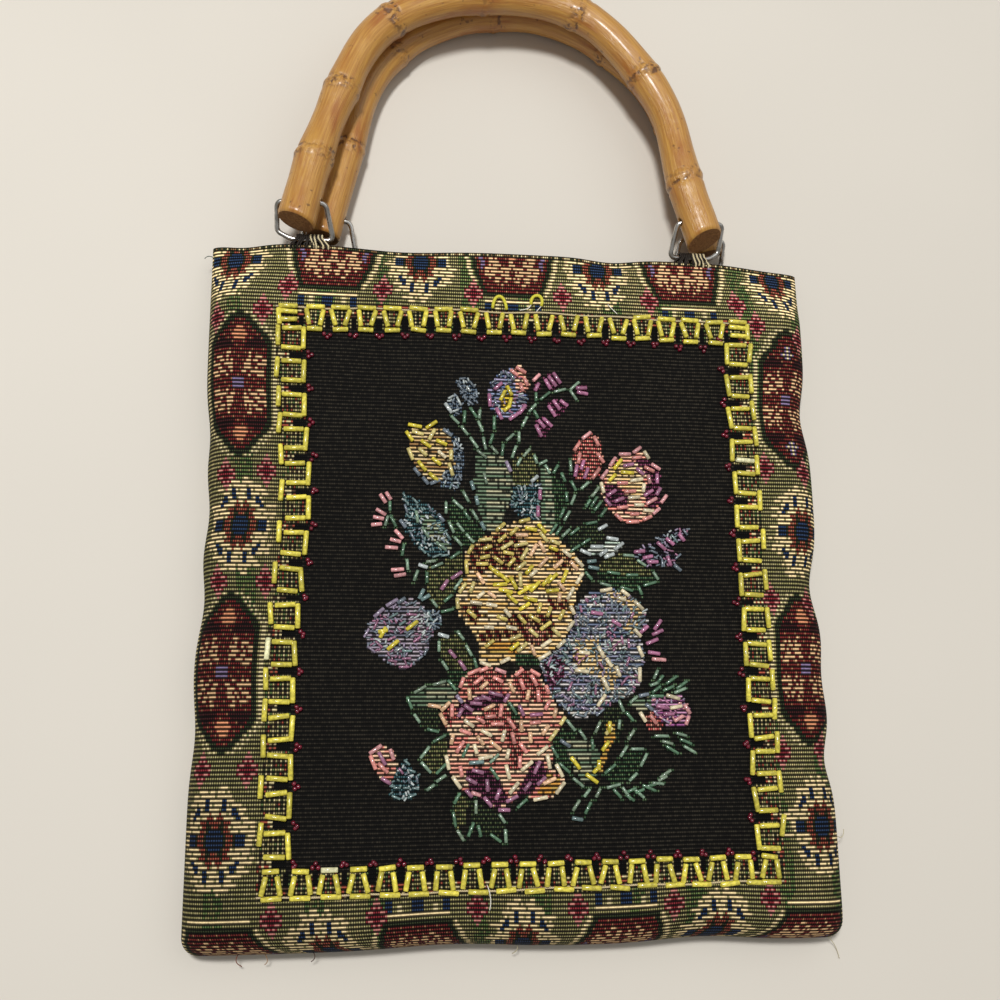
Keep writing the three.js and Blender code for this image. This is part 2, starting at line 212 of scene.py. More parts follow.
MEDALLION = [
    "ooowwwwbbbbbbbllwwdd.ff", "oowwwwwwbbbbwwwllwwdd.tf", "bbwwwwbbbbbbwwllwwdd.ff",
    "bbbbbbwwbbbbbbwlwwdd.tf", "wwbbbbbbbbbbbbwwwdd.ff", "wwbbbbwwbbbbbbwwwdd.tf",
    "wbbbwwbbbwwbbwwwdd.ff", "wwbbwwwbbwwwwwwdd.tf", "wwwwwbbwwwwwwwwdd.ff", "wwwwwwwwwwwwwwdd.tf",
    "wwwwwwwwwwwwwdd.ff", "ddddddddddddddd.f", "............", "ffffffffffffff", "nnn....tt..nnn",
    "nnn....tt..nnn", "nnn........nnn",
]
ROSETTE = ["ssssp", "sspps", "sps", "pp", "p"]
# The corner medallions have no navy feet
CORNER_MEDALLION = MEDALLION[:14]

# Ornament, and its place across and up the front
ORNAMENTS = [
    (CORNER_MEDALLION, -103.6, -7.7), (MEDALLION, -37.5, -6.8), (MEDALLION, 34.5, -5.9),
    (CORNER_MEDALLION, 102.6, -5.6), (FLOWER, -69.2, -2.3), (FLOWER, -0.9, -1.5), (FLOWER, 68, -0.5),
    (MEDALLION, -71.9, 251.6), (MEDALLION, -2, 251.6), (MEDALLION, 67, 251.6),
    (FLOWER, -109.3, 247.2), (FLOWER, -38.1, 247.6), (FLOWER, 32.7, 248), (FLOWER, 106.2, 248),
    (OCTAGON, -103.3, 196.4), (FLOWER, -102.8, 143.8), (OCTAGON, -104.6, 92.8), (FLOWER, -104.8, 37.1),
    (STAR_OCTAGON, 105.4, 197.2), (FLOWER, 107.2, 145.7), (OCTAGON, 105.6, 93.8), (FLOWER, 106.4, 39),
]
ORNAMENT_PITCH = 36
ROSETTE_PLACES = [
    (-92.7, 164.3), (-107.7, 162.1), (-91.9, 123.8), (-109.9, 123.9), (-95.5, 225.7), (-113, 222.8),
    (-95.4, 59.7), (-111.6, 59.9), (93.6, 226.9), (112, 222), (93.5, 170), (110, 168), (94, 120),
    (111, 119), (94.5, 64), (111, 65),
]
# Rosettes in rows along the top and the foot
ROSETTE_PAIRS = 3
ROSETTE_PITCH = 34.8
ROSETTE_TOP = 235.6
ROSETTE_FOOT = 12.8
ROSETTE_FOOT_PITCH = 34.2
ROSETTE_FOOT_TILT = 0.016
# The back's even repeat: first row, distance of rows, ornaments on each side of the middle
BACK_FIRST_ROW = 18
BACK_ROW_PITCH = 47
BACK_COLUMNS = 3

# Bands of the green ground: a wave across, another that slants, and the levels where yarns change
GROUND_WAVE = 4.3
GROUND_SLANT_WAVE = 2.9
GROUND_SLANT = 31
GREEN_ABOVE = 0.9
PALE_BELOW = -1.25
# Gaps between the border's cells: how narrow they are, and how deep they are red
GAP_MARGIN = 0.02
GAP_RED_DEPTH = 4.5
# How far the field runs under the beads, and the height of the hem's band
FIELD_OVERLAP = 1
HEM_BAND = 1.6

# Weaves of the bouquet: 1 where the weft floats, and the yarns that follow each other, as display colours
WEAVES = {
    "cream_rows": (1, [(232, 204, 152), (218, 184, 126)]),
    "bud_rows": (1, [(214, 186, 136), (192, 158, 104), (222, 196, 146), (150, 114, 72)]),
    "rose_rows": (1, [(244, 212, 156), (234, 194, 128), (246, 218, 172), (222, 180, 106)]),
    "coral_rows": (1, [(234, 162, 138), (240, 194, 158), (222, 136, 120), (238, 204, 166)]),
    "amber_rows": (1, [(210, 152, 70), (190, 156, 80)]),
    "gold_rows": (1, [(228, 198, 60), (204, 166, 60)]),
    "white_rows": (1, [(216, 218, 204), (172, 188, 170)]),
    "sage_rows": (1, [(150, 156, 128), (176, 172, 138), (104, 124, 98)]),
    "blue_rows": (1, [(196, 190, 188), (132, 134, 154), (206, 198, 186), (100, 110, 132)]),
    "slate_rows": (1, [(130, 142, 170), (160, 152, 180), (96, 112, 146)]),
    "lilac_rows": (1, [(150, 138, 152), (104, 104, 116), (168, 156, 164)]),
    "plum_rows": (1, [(150, 86, 134), (188, 138, 170)]),
    "slate_check": (0, [(116, 134, 150), (88, 104, 122)]),
    "teal_check": (0, [(78, 114, 118), (58, 88, 94)]),
    "leaf_check": (0, [(92, 116, 78), (50, 76, 52), (70, 96, 64)]),
    "moss_check": (0, [(84, 94, 62), (50, 62, 44)]),
    "olive_check": (0, [(148, 144, 94), (96, 104, 64), (122, 122, 78)]),
    "maroon_check": (0, [(222, 180, 122), (124, 52, 42), (96, 34, 30), (206, 158, 104)]),
    "rose_check": (0, [(226, 170, 140), (196, 120, 100)]),
    "coral_check": (0, [(224, 126, 114), (190, 88, 84), (228, 162, 138)]),
    "plum_check": (0, [(132, 70, 96), (94, 46, 66)]),
    "sprig_check": (0, [(52, 46, 58), (30, 28, 32)]),
}
# How the floating weaves change yarns: step from row to row, length of a run, rows until runs repeat
WEAVE_ROW_STEP = 7
WEAVE_RUN = 9
WEAVE_TURNS = 3
# Woven stems under the stalks' beads
STEM_YARNS = [(96, 118, 84), (66, 90, 62)]
STEM_HALF_WIDTH = 0.7
STEM_RUN_ON = 1.0
# Woven areas, from the lowest up: weave, and corners of its outline as pixels of the picture
WOVEN = [row.split() for row in """
slate_check 446,400 455,394 462,402 463,410 456,416 450,414;
slate_check 456,382 463,376 472,380 478,392 477,404 470,407 462,398;
bud_rows 411,428 437,426 454,434 456,462 452,478 440,484 430,482 418,470 409,456 409,440;
slate_check 446,428 458,438 464,452 463,480 456,491 440,486 444,472 455,464 452,440;
slate_rows 490,384 500,372 512,368 524,382 529,398 524,410 512,420 500,420 490,408 487,396;
coral_rows 512,366 522,366 530,384 526,394 518,392 513,380;
gold_rows 500,402 506,386 512,390 514,402 508,412 502,410;
plum_check 543,376 556,371 562,384 554,390 546,388;
plum_check 532,386 540,382 540,390 534,392;
plum_check 575,385 588,385 588,396 577,396;
plum_check 547,403 556,399 568,404 562,414 555,418;
plum_check 534,422 543,417 552,426 546,436 539,438;
coral_check 579,440 591,433 600,438 604,460 600,476 588,480 575,478 573,456;
coral_rows 604,476 612,462 622,456 642,452 652,462 661,474 660,504 652,517 638,523 620,520 608,508 601,492;
plum_check 605,486 618,486 628,498 626,510 612,508 604,496;
plum_check 634,458 650,460 661,474 660,502 650,512 644,496 648,478 640,466;
cream_rows 606,472 620,460 640,470 644,484 640,500 630,494 618,484 608,484;
sage_rows 476,456 490,450 508,460 514,484 508,508 498,530 487,530 477,508 474,480;
olive_check 512,460 530,449 538,464 538,484 514,486;
teal_check 514,486 541,484 539,520 522,519 511,506;
sage_rows 541,468 551,466 560,500 556,530 541,532;
leaf_check 551,474 566,486 563,516 556,528;
teal_check 402,492 418,500 432,508 444,524 452,545 449,557 431,558 414,545 403,528 405,512;
sage_rows 420,516 433,516 446,534 451,550 440,552 428,536;
leaf_check 447,502 458,503 470,520 478,544 462,548 450,530;
leaf_check 464,520 484,528 488,540 474,544;
olive_check 427,568 444,560 462,554 463,574 453,594 440,608 428,598;
rose_rows 466,552 480,538 498,530 518,520 540,522 558,538 580,560 585,572 577,592 573,614 567,634 552,652
  536,662 512,660 492,667 478,662 478,644 470,628 458,614 455,598 464,576;
maroon_check 470,552 482,540 498,532 514,530 520,542 530,548 520,566 508,572 492,566 480,574 468,570;
maroon_check 508,614 524,612 552,616 556,630 546,644 532,646 520,634 510,628;
maroon_check 459,606 474,606 482,616 476,624 464,618;
maroon_check 548,548 560,548 577,563 571,571 556,563;
maroon_check 478,633 500,629 528,630 526,638 500,640 480,641;
maroon_check 548,598 566,598 568,612 550,612;
amber_rows 486,642 512,640 524,646 514,654 490,652;
rose_check 526,622 546,632 540,646 528,642;
leaf_check 516,656 530,652 540,660 540,668 514,668;
moss_check 566,532 582,524 600,528 606,536 592,546 572,552;
white_rows 586,551 600,545 612,538 623,545 612,556 594,557;
olive_check 600,560 622,553 640,560 656,576 640,580 612,576 600,570;
leaf_check 596,570 612,576 656,577 656,582 642,588 626,594 604,586;
blue_rows 576,606 590,592 612,588 632,597 645,610 648,622 640,632 644,655 641,684 630,696 614,702 598,714
  580,720 566,712 552,696 545,680 539,662 552,653 566,640 574,622;
plum_check 545,662 556,654 566,664 564,680 552,690 546,678;
cream_rows 574,640 598,640 606,656 620,668 614,690 604,692 598,676 580,674 574,660;
cream_rows 600,590 626,594 644,610 634,634 622,630 632,612 616,600;
lilac_rows 372,620 388,606 412,598 428,610 434,630 428,650 416,663 402,670 386,662 368,648 364,632;
slate_check 424,610 441,612 441,626 432,631 424,622;
olive_check 440,640 456,633 468,646 476,664 468,674 450,668 441,656;
leaf_check 446,668 468,672 464,684 456,690 448,682;
sage_rows 410,696 430,685 450,682 462,692 456,704 436,706 420,710 412,706;
moss_check 412,706 436,706 444,716 436,730 422,726 414,716;
coral_rows 460,690 466,676 484,667 500,669 508,678 520,668 536,669 548,690 556,706 566,716 560,730 552,745
  552,768 565,780 556,796 536,800 522,794 506,806 492,807 478,796 462,790 450,775 446,755 452,738 442,718
  450,702;
coral_check 466,678 484,668 506,674 504,694 488,688 470,694;
coral_check 513,682 522,670 536,671 546,690 544,704 530,700 518,696;
coral_check 480,716 500,704 514,716 524,752 520,770 510,770 510,740 498,730 482,728;
coral_check 442,712 454,704 458,718 450,728;
plum_check 456,706 470,698 502,692 510,700 490,706 470,714 460,718;
plum_check 466,772 484,768 500,780 508,800 498,808 482,800 470,792;
plum_check 534,760 542,760 548,778 528,794 514,800 520,786;
amber_rows 548,772 562,780 556,796 536,796 542,784;
leaf_check 506,700 516,706 520,718 512,718;
coral_rows 369,756 382,745 394,750 398,768 391,784 380,778;
teal_check 391,786 396,770 404,757 412,767 420,776 420,790 410,800 398,801 389,796;
olive_check 421,760 432,744 446,736 447,762 436,774 429,772;
olive_check 454,806 461,793 468,798 466,824 457,830;
moss_check 468,800 486,808 500,812 506,828 496,838 484,836 472,822;
leaf_check 552,744 562,728 574,732 578,752 570,772 558,762;
sage_rows 566,738 592,738 600,752 598,776 584,784 574,770 566,752;
moss_check 600,726 606,708 620,706 624,728 618,746 604,738;
amber_rows 603,752 607,722 614,722 615,738 608,754 602,772 597,774 600,760;
leaf_check 604,777 616,760 630,750 644,752 638,768 630,780 612,785;
sage_rows 630,702 642,694 656,696 654,710 640,714;
plum_rows 652,698 682,696 691,712 686,727 668,728 654,714;
coral_check 640,714 654,712 666,728 650,732;
sprig_check 632,556 640,548 652,542 664,534 676,528 688,526 690,534 680,542 670,550 678,556 674,568
  660,564 650,570 642,564""".split(";")]

# Glass, as display colours; the palest is given to a few border beads as a painted highlight
GLASSES = {
    "border": (224, 210, 80), "ruby": (112, 18, 40), "yellow": (216, 198, 60), "gold": (206, 187, 98),
    "straw": (214, 198, 126), "cream": (224, 210, 174), "peach": (226, 184, 144), "coral": (220, 144, 134),
    "rose": (218, 156, 156), "magenta": (170, 108, 140), "plum": (152, 102, 128), "lilac": (145, 131, 152),
    "silver": (180, 188, 186), "slate": (108, 119, 128), "teal": (106, 130, 128), "mint": (126, 152, 128),
    "leaf": (84, 120, 92), "sage": (120, 138, 116), "painted_glint": (250, 246, 196),
}
# Both ends of each bugle of the bouquet, as pixels of the picture, by glass
BUGLES = {
    "yellow": """
408 424 422 427, 406 431 413 441, 421 440 431 447, 436 440 447 445, 432 458 441 465, 418 461 426 471,
429 473 438 481, 426 428 437 421, 507 386 512 396, 505 391 500 401, 511 398 509 407, 504 411 510 406,
614 469 622 459, 621 472 634 473, 609 481 616 474, 525 528 537 530, 538 524 546 533, 526 574 533 565,
550 547 557 550, 489 566 500 576, 494 570 502 576, 502 576 509 582, 510 576 517 590, 491 585 509 584,
497 589 514 593, 518 594 530 587, 530 592 540 581, 542 586 552 575, 547 583 558 573, 524 588 535 585,
562 583 567 570, 546 591 559 590, 523 597 538 601, 506 593 518 604, 519 610 530 603, 510 650 519 643,
380 638 386 627, 378 632 388 630, 406 630 418 621, 387 650 399 640, 570 756 581 770, 586 774 598 783,
593 773 600 766, 610 721 609 733, 602 751 609 741, 599 760 599 770""",
    "gold": """
468 554 473 545, 466 560 467 574, 483 549 492 546, 480 558 490 556, 476 564 488 564, 496 531 505 523,
498 542 506 535, 510 535 518 527, 503 552 514 554, 494 557 503 564, 508 566 515 558, 519 522 530 519,
538 613 541 603, 547 617 551 607, 559 620 564 610, 518 615 526 624, 529 615 540 622, 540 630 551 622,
497 616 507 620, 485 647 494 640, 467 610 476 618""",
    "straw": """
412 431 424 434, 435 429 429 440, 419 448 427 456, 408 448 413 460, 451 450 451 460, 449 463 453 476,
479 540 492 539, 501 549 513 542, 514 546 528 543, 540 532 548 542, 521 560 528 548, 516 570 526 562,
520 572 521 587, 459 593 466 583, 470 593 474 582, 457 598 458 609, 529 629 538 637, 510 640 521 635,
517 652 527 643, 552 628 560 636, 550 540 560 544, 560 725 565 717, 549 741 557 730, 606 734 612 728""",
    "cream": """
438 451 446 458, 563 550 571 557, 575 558 583 567, 530 576 537 570, 567 600 574 587, 576 584 583 573,
477 598 484 592, 484 627 494 628, 506 627 517 629, 567 631 574 621, 557 648 565 640, 538 660 551 652,
541 647 551 640, 480 662 491 666, 500 663 510 658, 571 607 574 613, 470 602 482 604, 486 604 497 606,
505 610 510 616, 601 482 604 493, 630 481 643 479, 644 484 643 492, 628 498 640 497, 634 505 644 505,
643 510 654 511, 644 451 649 459, 574 670 590 672, 579 652 590 653, 617 597 626 600, 634 601 643 610,
600 591 612 589, 621 590 629 596, 634 629 641 637, 598 646 604 658, 606 658 612 667, 616 666 620 677,
602 677 609 691, 638 646 643 657, 640 667 640 682, 597 707 606 694, 666 695 680 699, 670 708 682 706,
640 712 646 722, 464 720 474 727, 481 730 492 736, 502 742 505 730, 474 744 477 754, 478 759 493 756,
446 755 449 770, 452 776 461 789, 507 758 509 750, 506 764 510 780, 509 794 519 782, 521 771 533 761,
537 755 548 746, 547 754 550 769, 556 764 563 777, 556 794 565 782, 533 800 548 797""",
    "peach": """
516 535 528 535, 539 541 545 552, 530 556 537 544, 539 567 548 557, 554 568 563 560, 570 561 578 570,
558 582 565 591, 560 593 559 602, 488 592 496 598, 477 573 484 584, 531 645 535 656, 428 705 441 707,
469 688 470 700, 441 711 450 702, 440 713 446 725, 509 682 514 693, 529 690 527 700, 480 689 488 682,
554 718 556 708, 484 710 494 705, 490 741 501 750, 477 736 484 745, 521 720 522 732, 530 732 531 743,
542 735 549 725, 451 744 453 735, 543 784 556 778""",
    "coral": """
516 367 526 373, 510 370 518 376, 524 378 528 386, 520 383 523 392, 574 451 580 442, 594 436 599 446,
592 479 600 468, 597 453 604 463, 580 453 578 464, 632 458 642 457, 644 467 654 472, 617 483 628 483,
624 492 636 491, 617 508 628 507, 630 514 639 514, 615 514 622 521, 626 522 639 522, 643 520 652 516,
460 688 464 677, 466 675 483 668, 474 684 483 677, 452 704 452 717, 476 717 485 723, 515 676 523 669,
530 670 540 676, 493 677 503 682, 520 679 524 690, 531 675 537 686, 538 690 539 702, 546 685 549 694,
545 710 550 700, 500 717 502 704, 485 717 496 716, 491 724 504 724, 508 718 515 729, 512 732 515 744,
520 743 527 753, 520 756 520 768, 530 723 541 722, 460 730 471 734, 464 741 456 753, 460 766 462 777,
370 755 376 770, 378 763 388 773, 650 715 657 724, 480 671 487 668""",
    "rose": """
582 439 591 432, 610 466 616 457, 619 454 631 454, 633 453 641 447, 651 464 660 470, 601 479 608 470,
648 475 650 484, 646 504 657 498, 653 514 660 508, 661 503 667 495, 380 494 386 503, 386 492 391 500,
376 509 386 515, 373 517 384 519, 371 525 382 524, 395 530 403 539, 390 539 401 542, 385 547 398 548,
391 570 404 569, 394 576 406 574, 369 754 382 745, 390 749 394 760, 495 669 506 673, 652 659 666 660,
684 704 690 714, 689 716 686 725, 674 721 683 716, 473 793 479 795, 533 381 540 374""",
    "magenta": """
535 391 539 383, 545 379 551 389, 548 375 557 387, 553 372 561 384, 576 388 587 388, 577 392 588 394,
548 405 556 417, 553 400 560 410, 560 400 568 406, 535 424 542 438, 538 420 545 428, 543 418 552 427,
489 394 490 407, 496 408 502 420, 526 405 519 414, 519 413 509 420, 502 383 494 390, 575 477 577 465,
581 470 584 460, 584 479 588 468, 657 474 657 484, 644 496 653 490, 607 496 616 490, 614 502 624 498,
540 500 540 490, 538 517 538 506, 643 558 653 556, 647 562 658 562, 666 538 674 545, 679 534 684 541,
667 556 671 566, 657 542 666 550, 591 612 603 614, 612 620 621 626, 640 633 648 626, 654 630 661 620,
652 635 663 630, 646 644 658 639, 648 652 660 654, 656 706 667 708, 663 714 674 714, 530 715 543 714,
634 552 645 551""",
    "plum": """
623 466 634 464, 636 468 644 475, 605 499 611 506, 657 494 660 489, 373 631 378 620, 374 640 384 649,
386 641 397 636, 404 614 419 615, 412 643 422 636, 386 660 399 662, 396 667 412 667, 400 659 413 658,
458 717 463 708, 464 705 473 711, 470 703 482 704, 474 699 485 698, 488 692 503 696, 481 696 491 700,
504 702 509 694, 378 751 386 766, 381 778 391 784, 398 767 404 775, 472 770 484 773, 466 778 477 784,
466 790 472 797, 534 774 540 761, 537 785 546 777, 524 791 531 782, 506 802 518 796, 496 800 500 789,
487 779 488 792, 484 797 492 807, 498 810 510 810, 547 668 552 655, 557 677 562 664, 551 677 556 684,
567 693 573 680, 596 682 595 697, 621 634 623 646, 628 637 629 650, 598 660 604 670, 626 668 630 655,
620 687 629 675, 630 620 634 611, 567 706 575 704, 451 579 462 572, 441 590 448 580, 449 650 456 658,
459 660 466 670, 519 705 524 716, 580 604 582 614""",
    "lilac": """
366 645 377 654, 363 639 370 627, 374 617 384 608, 386 606 398 599, 583 680 592 682, 562 694 570 702,
579 707 590 710, 570 665 574 674, 661 718 671 724, 653 709 659 717, 457 696 462 702, 506 461 511 472""",
    "silver": """
445 403 452 413, 447 399 455 395, 456 395 462 407, 466 385 471 393, 452 412 459 409, 531 482 538 476,
396 651 403 647, 598 530 607 525, 606 538 618 540, 614 550 623 543, 590 547 603 547, 599 556 607 550,
580 550 591 555, 604 558 614 554, 420 565 426 567, 438 634 449 637""",
    "slate": """
457 382 463 391, 468 380 476 389, 459 379 466 378, 476 390 477 399, 463 394 467 402, 468 397 476 399,
467 400 474 406, 443 429 452 436, 454 440 460 449, 458 452 461 461, 457 462 460 471, 458 472 462 482,
414 468 420 476, 423 478 428 484, 430 484 440 480, 441 474 448 481, 450 484 459 489, 504 370 510 378,
497 377 504 372, 490 384 497 380, 516 396 529 399, 517 401 527 403, 494 398 497 408, 404 503 408 515,
400 520 406 528, 409 530 416 543, 427 503 432 512, 438 514 444 522, 404 606 414 602, 398 603 405 598,
419 605 427 614, 429 616 440 613, 430 622 437 628, 440 614 441 624, 424 644 432 634, 424 657 427 647,
416 661 424 655, 404 639 416 629, 648 546 656 549, 649 550 659 554, 654 537 663 540, 683 529 688 536,
662 557 662 569, 674 560 682 553, 674 565 681 571, 581 617 590 623, 539 663 546 675, 560 701 567 711,
574 714 586 717, 612 599 612 611, 597 628 606 621, 608 626 614 633, 636 618 646 616, 639 624 646 619,
618 653 624 662, 624 697 634 686, 612 704 619 694, 594 718 606 707, 560 740 570 747, 416 774 418 785,
408 774 410 785, 639 696 649 694, 646 704 653 710""",
    "teal": """
510 373 515 382, 402 492 407 500, 418 545 427 555, 431 558 440 555, 440 556 449 555, 411 497 419 505,
444 530 452 542, 471 481 474 490, 476 496 478 505, 481 522 485 530, 587 562 596 561, 588 567 599 569,
521 500 528 490, 514 509 518 501, 387 619 400 612, 398 626 407 620, 400 651 414 651, 577 624 580 639,
568 640 572 651, 560 649 570 660, 552 693 562 690, 573 693 582 700, 584 693 590 700, 591 600 598 598,
622 612 626 605, 609 639 611 649, 403 759 411 766, 392 788 402 788, 402 788 411 788, 411 788 420 789,
390 795 402 800, 406 799 418 793, 409 770 415 772, 469 763 484 762, 572 818 583 820, 419 599 424 589,
421 600 430 595, 670 533 679 544""",
}
# The thin bugles of stalks and leaf edges, likewise
STALKS = {
    "mint": """
451 416 459 424, 461 426 468 435, 470 437 478 448, 478 421 483 432, 483 437 486 450, 480 410 479 419,
554 392 566 389, 570 390 579 382, 570 390 577 400, 529 412 536 404, 522 427 527 417, 519 442 519 432,
512 458 516 446, 506 441 514 434, 517 466 521 458, 534 455 537 464, 540 464 546 461, 545 465 550 474,
570 461 571 472, 385 526 388 516, 407 559 408 570, 416 511 418 523, 422 527 429 538, 436 542 446 550,
446 502 446 514, 453 500 463 509, 449 522 454 533, 457 523 464 532, 454 537 462 546, 466 534 474 543,
463 491 469 502, 472 510 478 520, 431 568 443 563, 414 581 418 570, 454 590 462 579, 432 600 437 607,
562 537 570 529, 571 505 575 495, 564 521 570 511, 581 489 589 482, 623 555 634 556, 637 560 646 566,
653 572 658 580, 600 583 611 586, 439 641 439 652, 457 631 464 640, 466 645 472 656, 442 661 448 670,
414 714 420 723, 420 759 430 746, 421 762 431 773, 427 790 434 785, 436 782 446 775, 490 763 499 754,
499 814 505 823, 505 829 506 843, 566 720 575 731, 579 730 586 740, 573 778 584 787, 584 797 590 789,
620 720 619 729, 620 757 627 746, 631 749 644 749, 640 767 647 753, 629 781 637 773, 606 788 621 784,
622 787 631 800, 634 789 644 798, 652 783 664 784, 654 736 669 736, 676 733 687 736, 684 746 696 753,
630 703 638 696, 619 700 624 712, 654 679 658 670, 652 685 657 683, 674 693 686 688""",
    "leaf": """
465 411 464 423, 470 408 477 418, 540 400 550 392, 536 401 536 393, 534 411 538 418, 502 456 503 444,
490 444 493 434, 494 430 494 417, 553 474 558 465, 561 473 565 482, 390 501 390 511, 390 515 396 527,
404 544 402 556, 464 511 470 520, 450 559 460 552, 427 572 427 583, 444 602 452 595, 441 612 454 609,
566 492 567 502, 560 518 564 509, 550 534 557 524, 556 535 561 527, 570 535 579 528, 570 552 580 545,
581 545 590 539, 586 507 590 500, 591 507 597 497, 594 511 601 502, 600 517 606 509, 586 524 597 522,
585 572 592 580, 571 481 576 491, 643 586 656 582, 638 586 642 595, 620 587 633 591, 607 572 620 574,
626 575 638 575, 474 658 477 668, 448 680 456 690, 407 697 412 709, 509 702 517 715, 462 758 469 743,
433 742 446 735, 436 774 446 764, 427 729 439 732, 454 804 460 793, 453 811 456 828, 468 837 474 822,
478 825 481 837, 490 767 499 780, 517 808 527 799, 490 834 501 842, 592 739 593 750, 551 746 558 758,
559 763 570 773, 585 814 591 802, 604 774 616 764, 613 789 621 798, 626 795 634 801, 627 792 636 788,
635 793 644 789, 645 787 656 784, 642 785 656 791, 666 746 679 754, 680 739 692 744, 659 681 662 677,
652 693 661 686, 666 684 677 676, 663 691 674 686, 676 689 687 681, 650 696 664 696, 626 712 634 721""",
    "sage": """
477 450 487 458, 491 446 498 454, 523 457 530 449, 426 562 436 561, 592 497 599 487, 414 693 426 686,
433 685 446 681, 457 830 464 841, 476 800 476 814, 595 733 600 722, 573 811 580 800, 596 797 600 789,
628 740 634 730, 660 778 671 770, 658 781 667 776, 662 741 673 744, 591 497 598 489, 484 472 487 484""",
}


def srgb(colour):
    """A display colour, 0 to 255, as linear light by the standard curve."""
    share = np.asarray(colour, float) / 255
    return np.where(share <= 0.04045, share / 12.92, ((share + 0.055) / 1.055) ** 2.4)


def smoothstep(values, low, high):
    """0 below low and 1 above high, with an even ease between."""
    share = np.clip((np.asarray(values, float) - low) / (high - low), 0, 1)
    return share * share * (3 - 2 * share)


def bell(distance, spread):
    """1 at no distance, and less and less beyond the spread."""
    return np.exp(-((np.asarray(distance, float) / spread) ** 2))


def yarns(*names):
    """Display colours of named yarns."""
    return [YARNS[name] for name in names]


# Forms of the sewn cloth

def gather(edge, at):
    """How far the gathers of a seam pull it in, at places along it."""
    return sum(depth * bell(at - place, spread) for place, depth, spread in GATHERS[edge])


def waves(x, y):
    """Slow waves of the laid cloth, which fade out at the seams and the hem."""
    rise = sum(h * np.sin(2 * math.pi * (x / a + y / b) + start) for h, a, b, start in CLOTH_WAVES)
    clear = np.minimum(BAG_WIDTH / 2 - np.abs(x), np.minimum(y, BAG_HEIGHT - y)) - EDGE_ROLL
    return rise * smoothstep(clear, 0, CLOTH_WAVE_FADE)


def mouth_share(y):
    """0 in the belly of the bag and 1 at the hem."""
    return smoothstep(y, BAG_HEIGHT - MOUTH_EASE, BAG_HEIGHT)


def half_width(y, inset):
    """Half the width of the bag at a height, less near the round corners of the foot."""
    corner = np.clip(FOOT_CORNER - y + inset, 0, FOOT_CORNER)
    return BAG_WIDTH / 2 - inset - (FOOT_CORNER - math.sqrt(FOOT_CORNER ** 2 - corner ** 2))


def section(y, lift, facing, inset, columns):
    """One row of points across a panel, evenly spaced. facing is 1 for the front, -1 for the back."""
    share = float(mouth_share(y))
    reach = EDGE_ROLL + (MOUTH_ROLL[facing] - EDGE_ROLL) * share
    seam = SEAM_HEIGHT + facing * SEAM_GAP / 2
    front_rise = FRONT_HEIGHT + (MOUTH_HEIGHT - FRONT_HEIGHT) * share - SEAM_HEIGHT
    full = (front_rise if facing > 0 else SEAM_HEIGHT) - SEAM_GAP / 2 - inset
    half = half_width(y, inset)
    angle = np.linspace(0, math.pi / 2, ROLL_STEPS)
    left = -half + reach * (1 - np.cos(angle))
    x = np.concatenate([left, -left[::-1]])
    z = np.concatenate([np.sin(angle), np.sin(angle)[::-1]]) * full * lift
    walked = np.concatenate([[0], np.cumsum(np.hypot(np.diff(x), np.diff(z)))])
    stops = np.linspace(0, walked[-1], columns + 1)
    x, z = np.interp(stops, walked, x), np.interp(stops, walked, z)
    fade = bell(half - np.abs(x), GATHER_REACH)
    pull = np.where(x < 0, gather("left", y), gather("right", y)) * fade
    ups = y + gather("foot", x) * bell(y, GATHER_REACH)
    dip = sum(drop * bell(x - at, spread) for at, drop, spread in HEM_DIPS)
    ups = ups - dip * smoothstep(y, BAG_HEIGHT - HEM_DIP_REACH, BAG_HEIGHT)
    depth = seam + facing * z
    if facing > 0:
        depth = depth + waves(x, y)
    return np.stack([x - np.sign(x) * pull, ups, depth], axis=1)


def panel_points(facing, inset, columns, rows):
    """The points of one face of a panel, row by row from the foot seam to the hem."""
    lines = []
    for walked in np.linspace(0, CLOTH_HEIGHT, rows + 1):
        if walked < FOOT_ARC:
            angle = walked / EDGE_ROLL
            y, lift = EDGE_ROLL * (1 - math.cos(angle)), math.sin(angle)
        else:
            y, lift = walked - FOOT_ARC + EDGE_ROLL, 1
        y = inset + y * (BAG_HEIGHT - inset) / BAG_HEIGHT
        lines.append(section(y, lift, facing, inset, columns))
    return np.array(lines)


def cloth_height(x, y):
    """Height of the front cloth in its flat part."""
    return FRONT_HEIGHT + waves(np.asarray(x, float), np.asarray(y, float))


def on_cloth(pixels, height=FRONT_HEIGHT):
    """Points of the bag, at a height, that the camera sees at these pixels of its picture."""
    turn = np.array(Euler([math.radians(t) for t in CAMERA_TURN]).to_matrix())
    offsets = (np.asarray(pixels, float).reshape(-1, 2) - PICTURE / 2) / FOCAL_PIXELS
    rays = np.stack([offsets[:, 0], -offsets[:, 1], -np.ones(len(offsets))], axis=1) @ turn.T
    reach = (height - CAMERA_AT[2]) / rays[:, 2]
    return CAMERA_AT + rays * reach[:, None] + (0, HALF_LENGTH, 0)


# Meshes from arrays

def make_piece(name, points, faces, material, body):
    """A smooth mesh from points in millimetres, riding on a body."""
    mesh = bpy.data.meshes.new(name)
    placed = (np.asarray(points, float) - (0, HALF_LENGTH, 0)) * MM
    mesh.from_pydata(placed.tolist(), [], faces)
    mesh.materials.append(material)
    mesh.shade_smooth()
    piece = bpy.data.objects.new(name, mesh)
    bpy.context.scene.collection.objects.link(piece)
    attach(piece, body)
    return piece


